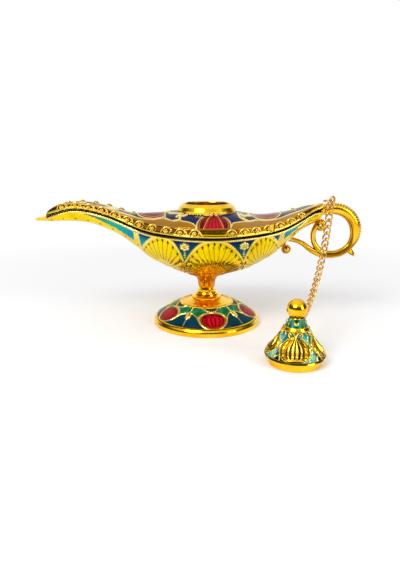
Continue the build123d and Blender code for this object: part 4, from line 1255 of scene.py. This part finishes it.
materials["handleGold"] = makeHandleGold("handleGold", handleSizes)
finishNode(nodes["handle"], materials["handleGold"])
layScales()
layEyes()
dress(meshPiece("handle_thorn", tubeMesh([handleSizes["thorn"]], 20)), "handleGold")
print("handle dressed")


# camera, floor and light

studio = {
    "keyLamp": {"place": (-0.5, -0.7, 0.75), "size": (0.5, 0.5), "power": 6.5},
    "fillLamp": {"place": (0.75, -0.6, 0.4), "size": (0.4, 0.6), "power": 3.0}}
lampTarget = (0, 0, 0.05)
floorSizes = {"reach": 4.0, "drop": 0.0002, "whiteFrom": 0.17, "whiteTo": 0.42, "glow": 0.12}


def placeCamera():
    camera = bpy.data.objects.new("camera", bpy.data.cameras.new("camera"))
    camera.location = view["place"]
    camera.rotation_euler = (math.radians(90 - view["pitch"]), 0, 0)
    camera.data.lens = view["lens"]
    camera.data.sensor_width = view["sensor"]
    camera.data.clip_start = 0.01
    bpy.context.scene.collection.objects.link(camera)
    bpy.context.scene.camera = camera


def lightWorld():
    # a studio for the metal to mirror: a dark band low in front, bright above; the backdrop is plain
    # white, both to the eye and to whatever mirrors it
    world = bpy.data.worlds.new("studio")
    world.use_nodes = True
    bpy.context.scene.world = world
    world.node_tree.nodes.clear()
    wire = Wire(world.node_tree)
    way = wire.make("ShaderNodeTexCoord", {}, {}, "Generated")
    depth, rise = (wire.make("ShaderNodeSeparateXYZ", {}, {0: way}, axis) for axis in "YZ")
    room = wire.ramp(rise * 0.5 + 0.5, (0.0, (0.5, 0.5, 0.5)), (0.49, (0.42, 0.4, 0.38)),
                     (0.52, (0.05, 0.04, 0.03)), (0.74, (0.08, 0.07, 0.06)), (0.82, (0.7, 0.7, 0.7)),
                     (1.0, (1, 1, 1)))
    eye, mirror, glass = (wire.make("ShaderNodeLightPath", {}, {}, name)
                          for name in ("Is Camera Ray", "Is Glossy Ray", "Is Transmission Ray"))
    behind = wire.smoothStep(depth, 0.35, 0.75)
    white = wire.maths("MAXIMUM", eye, wire.maths("MAXIMUM", mirror, glass) * behind)
    colour = wire.mixed(white, room, (1, 1, 1, 1))
    glow = wire.make("ShaderNodeBackground", {}, {"Color": colour, "Strength": 1.0})
    wire.make("ShaderNodeOutputWorld", {}, {0: glow})


def addLamp(name, look):
    lamp = bpy.data.objects.new(name, bpy.data.lights.new(name, "AREA"))
    lamp.data.shape = "RECTANGLE"
    lamp.data.size, lamp.data.size_y = look["size"]
    lamp.data.energy = look["power"]
    lamp.location = look["place"]
    towards = Vector(lampTarget) - Vector(look["place"])
    lamp.rotation_euler = towards.to_track_quat("-Z", "Y").to_euler()
    bpy.context.scene.collection.objects.link(lamp)


def layFloor():
    # keeps the shadow near the lamp, and turns plain white further out
    sizes = floorSizes
    mesh = bpy.data.meshes.new("floor")
    mesh.from_pydata([(x * sizes["reach"], y * sizes["reach"], -sizes["drop"])
                      for x, y in ((-1, -1), (1, -1), (1, 1), (-1, 1))], [], [(0, 1, 2, 3)])
    floor = bpy.data.objects.new("floor", mesh)
    bpy.context.scene.collection.objects.link(floor)
    material, wire, place = startMaterial("whiteFloor")
    away = wire.make("ShaderNodeVectorMath", {"operation": "LENGTH"}, {0: place}, "Value")
    far = wire.smoothStep(away, sizes["whiteFrom"], sizes["whiteTo"])
    plain = wire.make("ShaderNodeBsdfDiffuse", {}, {"Color": (0.9, 0.9, 0.92, 1)})
    glow, white = (wire.make("ShaderNodeEmission", {}, {"Color": (1, 1, 1, 1), "Strength": strength})
                   for strength in (sizes["glow"], 1.0))
    near = wire.make("ShaderNodeAddShader", {}, {0: plain, 1: glow})
    wire.make("ShaderNodeOutputMaterial", {}, {
        0: wire.make("ShaderNodeMixShader", {}, {0: far, 1: near, 2: white})})
    mesh.materials.append(material)


placeCamera()
lightWorld()
for lampName, look in studio.items():
    addLamp(lampName, look)
layFloor()
bpy.context.scene.view_settings.view_transform = "Standard"
print("camera and light set")
